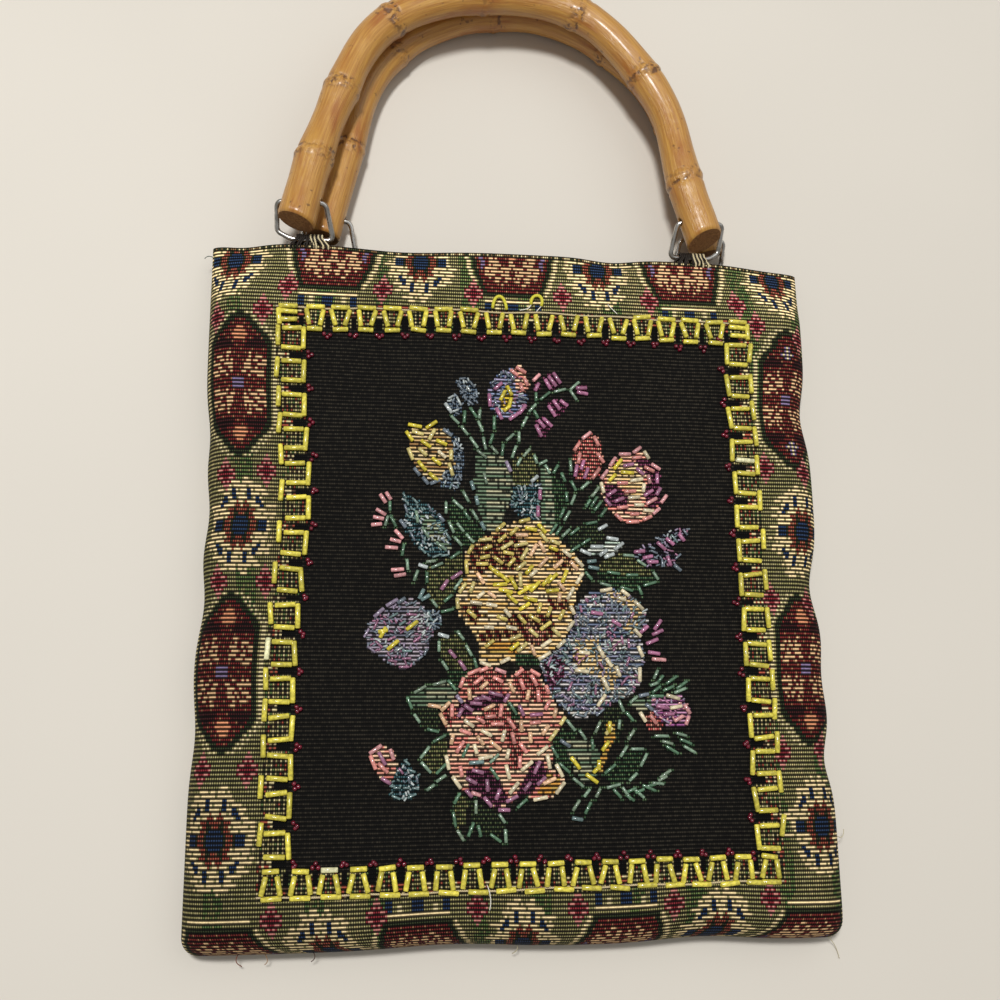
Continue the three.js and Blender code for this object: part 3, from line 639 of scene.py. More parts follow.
def set_colours(mesh, name, colours, domain="POINT"):
    """Stores a colour for each point or corner of a mesh."""
    layer = mesh.color_attributes.new(name, "FLOAT_COLOR", domain)
    full = np.ones((len(colours), 4), np.float32)
    full[:, :colours.shape[1]] = colours
    layer.data.foreach_set("color", full.ravel())


def grid_faces(rows, columns, start=0, flip=False):
    """Faces of a grid of points that are numbered row by row from start."""
    index = start + np.arange((rows + 1) * (columns + 1)).reshape(rows + 1, columns + 1)
    corners = [index[:-1, :-1], index[:-1, 1:], index[1:, 1:], index[1:, :-1]]
    quads = np.stack(corners, axis=-1).reshape(-1, 4)
    return quads[:, ::-1] if flip else quads


def spokes(sideways, upward, sides):
    """Directions round each point of a path, and their angles."""
    angle = np.arange(sides) * 2 * math.pi / sides
    turned = np.cos(angle)[None, :, None], np.sin(angle)[None, :, None]
    return sideways[:, None] * turned[0] + upward * turned[1], angle


def ring_faces(rings, closed=False):
    """Faces between rings of numbered points, and at both ends unless the rings close."""
    here, after = (rings, np.roll(rings, -1, axis=0)) if closed else (rings[:-1], rings[1:])
    faces = np.stack([here, np.roll(here, -1, axis=1), np.roll(after, -1, axis=1), after], axis=-1)
    caps = [] if closed else [rings[0][::-1].tolist(), rings[-1].tolist()]
    return faces.reshape(-1, 4).tolist() + caps


def tube(path, radius, sides, up, closed=False):
    """Rings of points round a path and the faces between them. up is any direction across the path."""
    path = np.asarray(path, float)
    if closed:
        ahead = np.roll(path, -1, axis=0) - np.roll(path, 1, axis=0)
    else:
        ahead = np.gradient(path, axis=0)
    ahead /= np.linalg.norm(ahead, axis=1)[:, None]
    sideways = np.cross(np.broadcast_to(up, ahead.shape), ahead)
    sideways /= np.linalg.norm(sideways, axis=1)[:, None]
    upward = np.cross(ahead, sideways)
    radius = np.broadcast_to(radius, len(path))[:, None, None]
    points = path[:, None] + radius * spokes(sideways, upward[:, None], sides)[0]
    rings = np.arange(len(path) * sides).reshape(len(path), sides)
    return points.reshape(-1, 3), ring_faces(rings, closed)


def joined(parts):
    """Many small meshes as one list of points and one of faces."""
    points, faces, start = [], [], 0
    for part_points, part_faces in parts:
        points.append(part_points)
        faces.extend([[start + i for i in face] for face in part_faces])
        start += len(part_points)
    return np.concatenate(points), faces


# A glass bead is a turned profile: distance along it as a share of its length,
# and radius as a share of its own
BUGLE_PROFILE = [
    (-0.36, 0), (-0.38, 0.34), (-0.49, 0.46), (-0.5, 0.74), (-0.465, 1),
    (0.465, 1), (0.5, 0.74), (0.49, 0.46), (0.38, 0.34), (0.36, 0),
]
SEED_PROFILE = [
    (-0.3, 0), (-0.42, 0.4), (-0.5, 0.7), (-0.2, 0.98), (0.2, 0.98), (0.5, 0.7), (0.42, 0.4), (0.3, 0),
]
FINE_PROFILE = [(-0.5, 0), (-0.48, 0.7), (-0.4, 1), (0.4, 1), (0.48, 0.7), (0.5, 0)]
BEAD_SIDES = 10
FINE_SIDES = 7
# How far a bead tips up or down, and how light or dark its glass may be
BEAD_TIP = 0.03
GLASS_UNEVEN = (0.78, 1.16)


def bead_form(profile, sides):
    """Points and faces of a bead of unit length along x and unit radius."""
    angle = np.arange(sides) * 2 * math.pi / sides
    points = [(profile[0][0], 0, 0)]
    for along, radius in profile[1:-1]:
        points.extend((along, radius * math.cos(a), radius * math.sin(a)) for a in angle)
    points.append((profile[-1][0], 0, 0))
    rings = len(profile) - 2
    last = len(points) - 1
    faces = []
    for i in range(sides):
        j = (i + 1) % sides
        faces.append((0, 1 + j, 1 + i))
        for ring in range(rings - 1):
            here = 1 + ring * sides
            faces.append((here + i, here + j, here + sides + j, here + sides + i))
        tail = 1 + (rings - 1) * sides
        faces.append((tail + i, tail + j, last))
    return np.array(points), faces


def string_beads(name, rows, material, profile=BUGLE_PROFILE, sides=BEAD_SIDES):
    """All beads of a piece as one mesh. Each row: middle, turn in degrees, length, width and glass."""
    form, faces = bead_form(profile, sides)
    rng = np.random.default_rng(SEED + len(rows))
    points, colours = [], []
    for middle, turn, length, width, glass in rows:
        angle = math.radians(turn)
        along = np.array((math.cos(angle), math.sin(angle), rng.normal(0, BEAD_TIP)))
        across = np.array((-math.sin(angle), math.cos(angle), 0))
        upward = np.cross(along, across)
        basis = np.stack([along * length, across * width / 2, upward * width / 2])
        points.append(form @ basis + middle)
        tint = srgb(GLASSES[glass]) * rng.uniform(*GLASS_UNEVEN)
        colours.append(np.tile(tint, (len(form), 1)))
    count = len(form)
    all_faces = [[i * count + k for k in face] for i in range(len(rows)) for face in faces]
    piece = make_piece(name, np.concatenate(points), all_faces, material, "bag")
    set_colours(piece.data, "glass", np.concatenate(colours))
    return piece


# The woven chart

class Chart:
    """A cloth as rows of cells: each cell's yarn, and how far its weft floats over the warps."""

    def __init__(self, warps, wefts):
        self.u = (np.arange(warps) + 0.5) / warps * CLOTH_WIDTH - CLOTH_WIDTH / 2
        self.v = (np.arange(wefts) + 0.5) / wefts * CLOTH_HEIGHT + CLOTH_FOOT
        self.across, self.up = np.meshgrid(self.u, self.v)
        self.yarn = np.zeros((wefts, warps, 3))
        self.floats = np.zeros((wefts, warps))
        self.rng = np.random.default_rng(SEED)

    def fill(self, where, colours, floating=0):
        """Lays yarns in the cells where the mask is true, picked at random from a list."""
        picks = self.rng.integers(0, len(colours), self.floats.shape)
        self.yarn[where] = np.array(colours, float)[picks][where]
        self.floats[where] = floating

    def ornament(self, chart, u, v):
        """Draws a half chart about a middle, mirrored across and up."""
        column = np.abs(np.round((self.u - u) / CHART_WARP)).astype(int)
        row = np.round((self.v - v) / CHART_WEFT).astype(int)
        for r, step in enumerate(row):
            if abs(step) >= len(chart):
                continue
            letters = chart[abs(step)]
            fray = self.rng.integers(0, FRAY_MOST, 2)
            for c in np.nonzero(column < len(letters))[0]:
                letter = letters[column[c]]
                worn = letter == FRAYED and column[c] >= len(letters) - fray[int(self.u[c] > u)]
                if letter == "." or worn:
                    continue
                flecked = letter in FLECKED and (FLECK_SLANT * r + c) % FLECK_EVERY == 0
                bound = letter in BOUND_BY and (BINDING_SLANT * r + c) % BINDING == 0
                yarn = FLECK if flecked else CHART_YARNS[letter]
                self.yarn[r, c] = YARNS[BOUND_BY[letter] if bound else yarn]
                self.floats[r, c] = letter in FLOATING and not bound

    def weave(self, name, outline):
        """Fills an outline with one of the bouquet's weaves."""
        floating, colours = WEAVES[name]
        where = inside(outline, self.across, self.up)
        row = np.arange(len(self.v))[:, None]
        column = np.arange(len(self.u))[None, :]
        if floating:
            pick = row * WEAVE_ROW_STEP + column // WEAVE_RUN * (row % WEAVE_TURNS + 1)
        else:
            pick = row + column
        self.yarn[where] = np.array(colours, float)[pick % len(colours)][where]
        self.floats[where] = floating
        broken = where & (self.rng.random(where.shape) < BROKEN_SHARE)
        self.floats[broken] = 0
        self.yarn[broken] *= BROKEN_SHADE

    def stem(self, start, end):
        """Weaves a line of green under a stalk's bead, run on a little past both ends."""
        run = end - start
        length = np.hypot(*run)
        along = ((self.across - start[0]) * run[0] + (self.up - start[1]) * run[1]) / length
        aside = ((self.across - start[0]) * run[1] - (self.up - start[1]) * run[0]) / length
        near = np.abs(aside) < STEM_HALF_WIDTH
        self.fill(near & (np.abs(along - length / 2) < length / 2 + STEM_RUN_ON), STEM_YARNS)

    def cells(self):
        """Linear colour and float of each cell: yarns that vary a little, painted light up to the hem and
        above the beads, brighter to the right.
        """
        yarn_tone_and_painted_light = self.rng.uniform(*YARN_UNEVEN, self.floats.shape)
        # Painted light: the cloth grows lighter from the foot up to the hem, and again above the bead
        # border
        yarn_tone_and_painted_light = yarn_tone_and_painted_light * (FOOT_PAINTED_LIGHT + self.up / BAG_HEIGHT * HEM_PAINTED_LIGHT)
        above = smoothstep(self.up, BORDER_TOP - TOP_PAINTED_LIGHT_REACH, BORDER_TOP + TOP_PAINTED_LIGHT_REACH)
        yarn_tone_and_painted_light = yarn_tone_and_painted_light * (1 + TOP_PAINTED_LIGHT * above)
        # Brighter toward the right
        yarn_tone_and_painted_light = yarn_tone_and_painted_light * (1 + RIGHT_BRIGHTENING * np.clip(2 * self.across / BAG_WIDTH, 0, 1))
        light = srgb(np.clip(self.yarn, 0, 255)) * yarn_tone_and_painted_light[..., None]
        return np.concatenate([light, self.floats[..., None]], axis=-1).reshape(-1, 4)


def inside(outline, x, y):
    """True where points lie inside a closed outline."""
    found = np.zeros(np.shape(x), bool)
    for (x0, y0), (x1, y1) in zip(outline, np.roll(outline, -1, axis=0)):
        if y0 == y1:
            continue
        crosses = (y0 > y) != (y1 > y)
        found ^= crosses & (x < (x1 - x0) * (y - y0) / (y1 - y0) + x0)
    return found


def ground(chart):
    """The border's green ground of fine ticks, warmer in some bands than in others."""
    chart.fill(np.ones(chart.floats.shape, bool), yarns("ground", "olive", "pale", "ground"))
    band = np.sin(chart.across / GROUND_WAVE)
    band = band + np.sin(chart.across / GROUND_SLANT_WAVE + chart.up / GROUND_SLANT)
    chart.fill(band > GREEN_ABOVE, yarns("grass", "olive", "grass", "moss"))
    chart.fill(band < PALE_BELOW, yarns("pale", "tan", "ground"))


def border_ornaments(chart):
    """The front's ornaments, and the small rosettes between them."""
    for ornament, u, v in ORNAMENTS:
        chart.ornament(ornament, u, v)
    for step in range(-ROSETTE_PAIRS, ROSETTE_PAIRS):
        chart.ornament(ROSETTE, (step + 0.5) * ROSETTE_PITCH, ROSETTE_TOP)
        middle = (step + 0.5) * ROSETTE_FOOT_PITCH
        chart.ornament(ROSETTE, middle, ROSETTE_FOOT + middle * ROSETTE_FOOT_TILT)
    for u, v in ROSETTE_PLACES:
        chart.ornament(ROSETTE, u, v)


def border_drift(side, at):
    """How far a bead row strays across its line, for places x or y along it."""
    shift, tilt, bulge, place, spread = BORDER_DRIFT[side]
    if side in ("top", "bottom"):
        share = at / BORDER_HALF_WIDTH
    else:
        share = (2 * at - BORDER_TOP - BORDER_FOOT) / (BORDER_TOP - BORDER_FOOT)
    return shift + tilt * share + bulge * bell(at - place, spread)


def border_side(chart):
    """For each cell: how deep it lies inside the bead border, and its place along that side."""
    sides = np.stack([
        chart.across + BORDER_HALF_WIDTH - border_drift("left", chart.up),
        BORDER_HALF_WIDTH + border_drift("right", chart.up) - chart.across,
        BORDER_TOP + border_drift("top", chart.across) - chart.up,
        chart.up - BORDER_FOOT - border_drift("bottom", chart.across),
    ])
    upright = sides.argmin(axis=0) < 2
    along = np.where(upright, chart.up - SIDE_START, chart.across + BORDER_HALF_WIDTH)
    pitch = np.where(upright, side_pitch(), 2 * BORDER_HALF_WIDTH / CELLS_ACROSS)
    return sides.min(axis=0), along / pitch


def side_pitch():
    """Length of a cell of the upright sides."""
    return (BORDER_TOP - BORDER_FOOT - 2 * BORDER_DEPTH + SIDE_STRETCH) / CELLS_UP


def black_field(chart):
    """The black middle, and the band under the beads that it runs into between their cells."""
    depth, place = border_side(chart)
    band = (depth > 0) & (depth <= BORDER_DEPTH)
    chart.fill(band, yarns("dark", "moss", "rust", "olive"))
    stripe = np.arange(len(chart.u)) % 2 == 0
    chart.fill(band & stripe[None, :], yarns("tan", "tick", "pale", "red", "tan"))
    gap = band & (np.abs(place - np.round(place)) < (1 - CELL_SHARE) / 2 - GAP_MARGIN)
    chart.fill(gap & (depth < GAP_RED_DEPTH), yarns("red", "tick", "rust"), floating=1)
    chart.fill(gap & (depth >= GAP_RED_DEPTH), yarns("black"))
    chart.fill(depth > BORDER_DEPTH - FIELD_OVERLAP, yarns("soot", "ash"), floating=FIELD_FLOAT)


def hem_band(chart):
    """The turned edge along the hem."""
    chart.fill(chart.up > BAG_HEIGHT - HEM_BAND, yarns("hem", "tick", "dark"))


def front_chart(warps, wefts):
    """The front: green border with its ornaments, black field, and the bouquet with its stems."""
    chart = Chart(warps, wefts)
    ground(chart)
    border_ornaments(chart)
    black_field(chart)
    for text in STALKS.values():
        for start, end in zip(*(on_cloth(ends)[:, :2] for ends in bead_ends(text))):
            chart.stem(start, end)
    for weave, *outline in WOVEN:
        chart.weave(weave, outline_points(outline))
    hem_band(chart)
    return chart


def back_chart(warps, wefts):
    """The hidden back: the border's ornaments as an even repeat."""
    chart = Chart(warps, wefts)
    ground(chart)
    for row, v in enumerate(np.arange(BACK_FIRST_ROW, BAG_HEIGHT, BACK_ROW_PITCH)):
        for column in range(-BACK_COLUMNS, BACK_COLUMNS + 1):
            ornament = OCTAGON if (row + column) % 2 else FLOWER
            chart.ornament(ornament, column * ORNAMENT_PITCH, v)
            chart.ornament(ROSETTE, (column + 0.5) * ORNAMENT_PITCH, v + BACK_ROW_PITCH / 2)
    hem_band(chart)
    return chart


# Materials

class Finish:
    """A procedural material on one principled shader."""

    def __init__(self, name, **constants):
        self.material = bpy.data.materials.new(name)
        self.material.use_nodes = True
        self.nodes = self.material.node_tree.nodes
        self.links = self.material.node_tree.links
        self.shader = self.nodes["Principled BSDF"]
        for socket, value in constants.items():
            self.shader.inputs[socket.replace("_", " ")].default_value = value
        self.spot = self.add("ShaderNodeTexCoord").outputs["Object"]

    def feed(self, socket, value):
        """Links a socket, or sets its value."""
        if isinstance(value, bpy.types.NodeSocket):
            self.links.new(value, socket)
        else:
            socket.default_value = value

    def add(self, kind, settings=None, numbered=None, **named):
        """A node with its settings, and its inputs, by number or by name, linked or set."""
        made = self.nodes.new(kind)
        for key, value in (settings or {}).items():
            setattr(made, key, value)
        inputs = {key.replace("_", " "): value for key, value in named.items()}
        for key, value in {**inputs, **(numbered or {})}.items():
            self.feed(made.inputs[key], value)
        return made

    def layer(self, name):
        """Outputs of a layer stored in the mesh."""
        return self.add("ShaderNodeAttribute", {"attribute_name": name}).outputs

    def flat(self, name, stretch=None):
        """Places on the piece laid flat, or stretched along it."""
        place = self.add("ShaderNodeUVMap", {"uv_map": name}).outputs["UV"]
        if stretch is None:
            return place
        return self.add("ShaderNodeMapping", Vector=place, Scale=(1.0, stretch, 1.0)).outputs["Vector"]

    def math(self, operation, first, second=0.0):
        """A sum or the like of two values."""
        return self.add("ShaderNodeMath", {"operation": operation}, {0: first, 1: second}).outputs[0]

    def ramp(self, value, low, high, start=0.0, end=1.0):
        """An ease from start, below low, to end, above high."""
        ends = {"From_Min": low, "From_Max": high, "To_Min": start, "To_Max": end}
        made = self.add("ShaderNodeMapRange", {"interpolation_type": "SMOOTHSTEP"}, Value=value, **ends)
        return made.outputs["Result"]

    def noise(self, scale, detail=3.0, at=None):
        """Cloudy noise, over the piece unless other places are given."""
        place = self.spot if at is None else at
        return self.add("ShaderNodeTexNoise", Vector=place, Scale=scale, Detail=detail).outputs["Fac"]

    def ribs(self, direction, scale, distortion=0.0):
        """Even ribs across a direction."""
        inputs = {"Vector": self.spot, "Scale": scale, "Distortion": distortion}
        return self.add("ShaderNodeTexWave", {"bands_direction": direction}, **inputs).outputs["Fac"]

    def mix(self, factor, first, second):
        """A mix of two colours."""
        colours = {6: first, 7: second}
        return self.add("ShaderNodeMix", {"data_type": "RGBA"}, colours, Factor=factor).outputs[2]

    def scaled(self, colour, factor):
        """A colour made lighter or darker."""
        made = self.add("ShaderNodeVectorMath", {"operation": "SCALE"}, {0: colour}, Scale=factor)
        return made.outputs[0]

    def bump(self, height, distance, strength):
        """Relief of the surface."""
        made = self.add("ShaderNodeBump", Height=height, Distance=distance, Strength=strength)
        self.links.new(made.outputs["Normal"], self.shader.inputs["Normal"])

    def colour(self, value):
        self.feed(self.shader.inputs["Base Color"], value)

    def roughness(self, value):
        self.feed(self.shader.inputs["Roughness"], value)


# Display colours of the plain materials
SHADES = {
    "reverse_dark": (38, 36, 22), "reverse_light": (104, 98, 58), "reverse_worn": (60, 52, 34),
    "cane": (166, 114, 48), "cane_pale": (190, 142, 66), "cane_stain": (150, 86, 30),
    "cane_crack": (132, 86, 38), "cane_speck": (92, 56, 26), "cane_scar": (88, 52, 22),
    "sawn_dark": (110, 74, 44), "sawn_light": (164, 122, 78), "sawn_worn": (136, 96, 60),
    "nickel": (206, 204, 200), "nickel_dull": (142, 140, 134),
}
CELL_MIDDLE = 0.5


def shade(name):
    """One of the plain colours, as a shader takes it."""
    return (*srgb(SHADES[name]), 1.0)


def tapestry_finish():
    """Each cell shows its yarn, dark at its edges: partly the dark warps, partly painted shade in the
    grooves between threads. A floating weft runs on over the warps.
    """
    finish = Finish("tapestry_weave", Roughness=0.8, Specular_IOR_Level=0.12)
    yarn = finish.layer("yarn")
    place = finish.add("ShaderNodeSeparateXYZ", Vector=finish.flat("cells")).outputs
    across, up = (
        finish.math("ABSOLUTE", finish.math("SUBTRACT", finish.math("FRACT", place[axis]), CELL_MIDDLE))
        for axis in ("X", "Y")
    )
    # Painted shade: each cell's yarn darkens toward its edges, partly for the dark warps between and partly
    # as shade in the grooves
    warp = finish.ramp(across, low=0.16, high=0.44, start=1.0, end=0.12)
    weft = finish.ramp(up, low=0.06, high=0.31, start=1.3, end=0.06)
    warp = finish.math("MAXIMUM", warp, yarn["Alpha"])
    profile = finish.math("MULTIPLY", warp, weft)
    fibre = finish.ramp(finish.noise(scale=2600, detail=2), low=0.3, high=0.7, start=0.8, end=1.15)
    fade = finish.ramp(finish.noise(scale=38), low=0.3, high=0.7, start=0.88, end=1.08)
    light = finish.math("MULTIPLY", finish.math("MULTIPLY", profile, fibre), fade)
    finish.colour(finish.scaled(yarn["Color"], light))
    finish.bump(profile, distance=0.35 * MM, strength=0.8)
    return finish.material


def lining_finish():
    """The cloth's plain reverse, inside the bag, its ribs with painted light on their crests and painted
    shade between.
    """
    finish = Finish("tapestry_reverse", Roughness=0.9, Specular_IOR_Level=0.12)
    # Painted light and shade: the ribs mix a lit and a shaded copy of the same colour
    ribs = finish.ribs("Y", scale=220, distortion=1.5)
    tone = finish.mix(ribs, shade("reverse_dark"), shade("reverse_light"))
    finish.colour(finish.mix(finish.noise(scale=90), tone, shade("reverse_worn")))
    finish.bump(ribs, distance=0.3 * MM, strength=0.6)
    return finish.material


def glass_finish(roughness=0.2, coat=0.35):
    """Coloured glass with faint streaks."""
    finish = Finish(
        "bead_glass", Roughness=roughness, IOR=1.52, Coat_Weight=coat, Coat_Roughness=0.06,
        Transmission_Weight=0.1,
    )
    streak = finish.ramp(finish.noise(scale=900, detail=2), low=0.35, high=0.7, start=0.72, end=1.2)
    finish.colour(finish.scaled(finish.layer("glass")["Color"], streak))
    finish.bump(finish.noise(scale=1400, detail=1), distance=0.2 * MM, strength=0.25)
    return finish.material


def dull_glass_finish():
    """The fine beads of the petals, with a worn face."""
    return glass_finish(roughness=0.45, coat=0.05)


def bamboo_finish():
    """Lacquered cane: streaks along it, stains, cracks and specks, and dark scars at its nodes."""
    finish = Finish("lacquered_bamboo", Coat_Weight=0.3, Coat_Roughness=0.18, IOR=1.48)
    long_grain = finish.flat("cane", stretch=0.045)
    stain_grain = finish.flat("cane", stretch=0.22)
    streak = finish.ramp(finish.noise(scale=1.3, detail=4, at=long_grain), low=0.3, high=0.72)
    tone = finish.mix(streak, shade("cane"), shade("cane_pale"))
    stain = finish.noise(scale=0.16, at=stain_grain)
    crack = finish.noise(scale=7, detail=2, at=long_grain)
    speck = finish.noise(scale=300, detail=2)
    tone = finish.mix(finish.ramp(stain, low=0.5, high=0.72, end=0.85), tone, shade("cane_stain"))
    tone = finish.mix(finish.ramp(crack, low=0.68, high=0.76, end=0.5), tone, shade("cane_crack"))
    tone = finish.mix(finish.ramp(speck, low=0.68, high=0.75, end=0.7), tone, shade("cane_speck"))
    torn = finish.ramp(finish.noise(scale=560), low=0.4, high=0.62, start=0.1, end=1.4)
    scar = finish.math("MULTIPLY", finish.layer("scar")["Fac"], torn)
    finish.colour(finish.mix(finish.ramp(scar, low=0.1, high=0.9, end=0.9), tone, shade("cane_scar")))
    finish.roughness(finish.ramp(finish.noise(scale=120), low=0.3, high=0.7, start=0.3, end=0.5))
    lump_height = 1.2
    lumps = finish.math("MULTIPLY", finish.noise(scale=150, detail=2), lump_height)
    grain = finish.math("ADD", finish.noise(scale=3, detail=2, at=long_grain), lumps)
    finish.bump(finish.math("SUBTRACT", grain, scar), distance=0.6 * MM, strength=0.5)
    return finish.material


def cut_finish():
    """The sawn end of a cane."""
    finish = Finish("sawn_bamboo", Roughness=0.85, Specular_IOR_Level=0.2)
    fibre = finish.ramp(finish.noise(scale=1300), low=0.35, high=0.65)
    tone = finish.mix(fibre, shade("sawn_dark"), shade("sawn_light"))
    finish.colour(finish.mix(finish.noise(scale=160, detail=2), tone, shade("sawn_worn")))
    finish.bump(fibre, distance=0.2 * MM, strength=0.5)
    return finish.material


def wire_finish():
    """Nickelled wire, dull in patches."""
    finish = Finish("nickel_wire", Metallic=1.0)
    dull = finish.ramp(finish.noise(scale=260, detail=4), low=0.35, high=0.7)
    finish.colour(finish.mix(dull, shade("nickel"), shade("nickel_dull")))
    finish.roughness(finish.ramp(dull, low=0.0, high=1.0, start=0.2, end=0.42))
    finish.bump(finish.noise(scale=1500, detail=2), distance=0.1 * MM, strength=0.3)
    return finish.material


def thread_finish():
    """Twisted thread in the colour stored with it, with painted shade in the grooves of its twist and
    painted light on its crests.
    """
    finish = Finish("sewing_thread", Roughness=0.7, Specular_IOR_Level=0.3)
    twist = finish.ribs("DIAGONAL", scale=900)
    # Painted light and shade: the colour is darkened in the twist's grooves and lightened on its crests
    light = finish.ramp(twist, low=0.0, high=1.0, start=0.6, end=1.1)
    finish.colour(finish.scaled(finish.layer("thread")["Color"], light))
    finish.bump(twist, distance=0.1 * MM, strength=0.5)
    return finish.material


def floor_finish(colour):
    """A pale table, a little uneven in tone."""
    finish = Finish("pale_table", Roughness=0.7)
    tone = finish.ramp(finish.noise(scale=3), low=0.3, high=0.7, start=0.96, end=1.02)
    finish.colour(finish.scaled((*colour,), tone))
    return finish.material


FINISHES = {
    "tapestry": tapestry_finish, "reverse": lining_finish, "glass": glass_finish, "bamboo": bamboo_finish,
    "cut": cut_finish, "wire": wire_finish, "thread": thread_finish, "dull_glass": dull_glass_finish,
}


def finish_of(kind):
    """A finish, made once and shared by all its pieces."""
    name = f"bag_{kind}"
    material = bpy.data.materials.get(name)
    if material is None:
        material = FINISHES[kind]()
        material.name = name
    return material


# Settings

# Shared by all lengths
SIZE = {"unit": "LENGTH", "subtype": "DISTANCE"}


class BagClothSettings(bpy.types.PropertyGroup):
    warps: bpy.props.IntProperty(
        name="Warps", description="Cells of the weave across a panel, an even number", default=302, min=20)
    wefts: bpy.props.IntProperty(
        name="Wefts", description="Cells of the weave up a panel, an even number", default=182, min=20)
    thickness: bpy.props.FloatProperty(
        name="Thickness", description="Thickness of the cloth", default=2.2 * MM, **SIZE)


class BagBeadSettings(bpy.types.PropertyGroup):
    bugle_length: bpy.props.FloatProperty(
        name="Bugle Length", description="Length of the bouquet's bugle beads", default=4.3 * MM, **SIZE)
    bugle_width: bpy.props.FloatProperty(
        name="Bugle Width", description="Thickness of the bouquet's bugle beads", default=1.45 * MM, **SIZE)
    stalk_width: bpy.props.FloatProperty(
        name="Stalk Width", description="Thickness of the thin beads of stalks and leaves",
        default=1.15 * MM, **SIZE)
    fine_width: bpy.props.FloatProperty(
        name="Fine Width", description="Thickness of the fine beads of blue and purple petals",
        default=0.72 * MM, **SIZE)
    border_width: bpy.props.FloatProperty(
        name="Border Width", description="Thickness of the border's bugle beads", default=1.85 * MM, **SIZE)
    border_length: bpy.props.FloatProperty(
        name="Border Length", description="Length of the border's long bugles", default=6.4 * MM, **SIZE)
    seed_width: bpy.props.FloatProperty(
        name="Seed Width", description="Thickness of the red seed beads", default=1.6 * MM, **SIZE)


class BagHandleSettings(bpy.types.PropertyGroup):
    cane_sides: bpy.props.IntProperty(
        name="Cane Sides", description="Points round a cane", default=36, min=8)
    cane_step: bpy.props.FloatProperty(
        name="Cane Step", description="Distance between rings along a cane", default=1.2 * MM, **SIZE)
    thread_width: bpy.props.FloatProperty(
        name="Thread Width", description="Thickness of the sewing thread", default=0.72 * MM, **SIZE)


class BagStageSettings(bpy.types.PropertyGroup):
    floor_colour: bpy.props.FloatVectorProperty(
        name="Floor Colour", description="Colour of the table, as linear light", default=(0.64, 0.6, 0.53),
        size=3, min=0, max=1, subtype="COLOR")
    key_power: bpy.props.FloatProperty(
        name="Key Power", description="Power of the large soft light", default=22.0, unit="POWER")
    fill_power: bpy.props.FloatProperty(
        name="Fill Power", description="Power of the weak light from the other side", default=3.0,
        unit="POWER")
    sky: bpy.props.FloatProperty(
        name="Sky", description="Strength of the light from all round", default=0.32, min=0)


# Pieces

def rim(index):
    """The outer loop of a grid of points, once round."""
    return np.concatenate([index[0, :-1], index[:-1, -1], index[-1, :0:-1], index[:0:-1, 0]]).tolist()


def edge_faces(outer, inner, flip):
    """Faces of the cloth's edge, between its outside and its coarser reverse."""
    index = np.arange(outer.size // 3 + inner.size // 3)
    outer_rim = rim(index[:outer.size // 3].reshape(outer.shape[:2]))
    inner_rim = rim(index[outer.size // 3:].reshape(inner.shape[:2]))
    faces = []
    for i in range(len(inner_rim)):
        j = (i + 1) % len(inner_rim)
        k = (2 * i + 2) % len(outer_rim)
        edge = [outer_rim[k], outer_rim[2 * i + 1], outer_rim[2 * i], inner_rim[i], inner_rim[j]]
        faces.append(edge[::-1] if flip else edge)
    return faces


def cloth_panel(name, node, facing, chart, settings):
    """A closed sheet: the outside cell by cell, the reverse half as fine, and the edge between."""
    warps, wefts = settings.warps, settings.wefts
    cells, reverse = warps * wefts, (warps // 2) * (wefts // 2)
    outer = panel_points(facing, 0, warps, wefts)
    inner = panel_points(facing, settings.thickness / MM, warps // 2, wefts // 2)
    flip = facing < 0
    faces = grid_faces(wefts, warps, 0, flip).tolist()
    faces += grid_faces(wefts // 2, warps // 2, outer.size // 3, not flip).tolist()
    faces += edge_faces(outer, inner, flip)
    points = np.concatenate([outer.reshape(-1, 3), inner.reshape(-1, 3)])
    piece = make_piece(name, points, faces, finish_of("tapestry"), "bag")
    piece.data.materials.append(finish_of("reverse"))
    slots = np.zeros(len(faces), np.int32)
    slots[cells:cells + reverse] = 1
    piece.data.polygons.foreach_set("material_index", slots)
    corners = len(piece.data.loops)
    colours = np.tile((*srgb(YARNS["hem"]), 0), (corners, 1))
    colours[:4 * cells] = np.repeat(chart.cells(), 4, axis=0)
    set_colours(piece.data, "yarn", colours, "CORNER")
    square = np.array([(0, 0), (1, 0), (1, 1), (0, 1)], float)
    if flip:
        square = square[::-1]
    row, column = np.divmod(np.arange(cells), warps)
    spots = np.full((corners, 2), CELL_MIDDLE)
    spots[:4 * cells] = (np.stack([column, row], axis=1)[:, None] + square[None]).reshape(-1, 2)
    layer = piece.data.uv_layers.new(name="cells")
    layer.data.foreach_set("uv", spots.astype(np.float32).ravel())
    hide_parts(node)
    return piece


class BAG_OT_panels(bpy.types.Operator):
    """Weaves the front, with border, black field and bouquet, and the plainer back"""

    bl_idname = "bag.panels"
    bl_label = "Panels"

    def execute(self, context):
        settings = context.scene.bag_cloth
        size = settings.warps, settings.wefts
        cloth_panel("front_cloth", "front_panel", 1, front_chart(*size), settings)
        cloth_panel("back_cloth", "back_panel", -1, back_chart(*size), settings)
        return {"FINISHED"}


BORDER_BEAD_HEIGHT = 0.95
# Cells of the top row whose outer bead is lost, so that the thread shows
THREAD_ONLY_CELLS = range(8, 14)
# Depths of the beads that lie across each upper corner
CORNER_STACK = (0.9, 2.9, 6.4)
# Degrees that the legs of the top and bottom cells lean
LEG_LEAN = 12
# Legs of the upright sides: their share of the usual length, and how far their cells widen
SIDE_LEG = 1.12
SIDE_WIDEN = 0.4
# Share of border beads made in pale glass as a painted highlight
PAINTED_GLINT_SHARE = 0.02
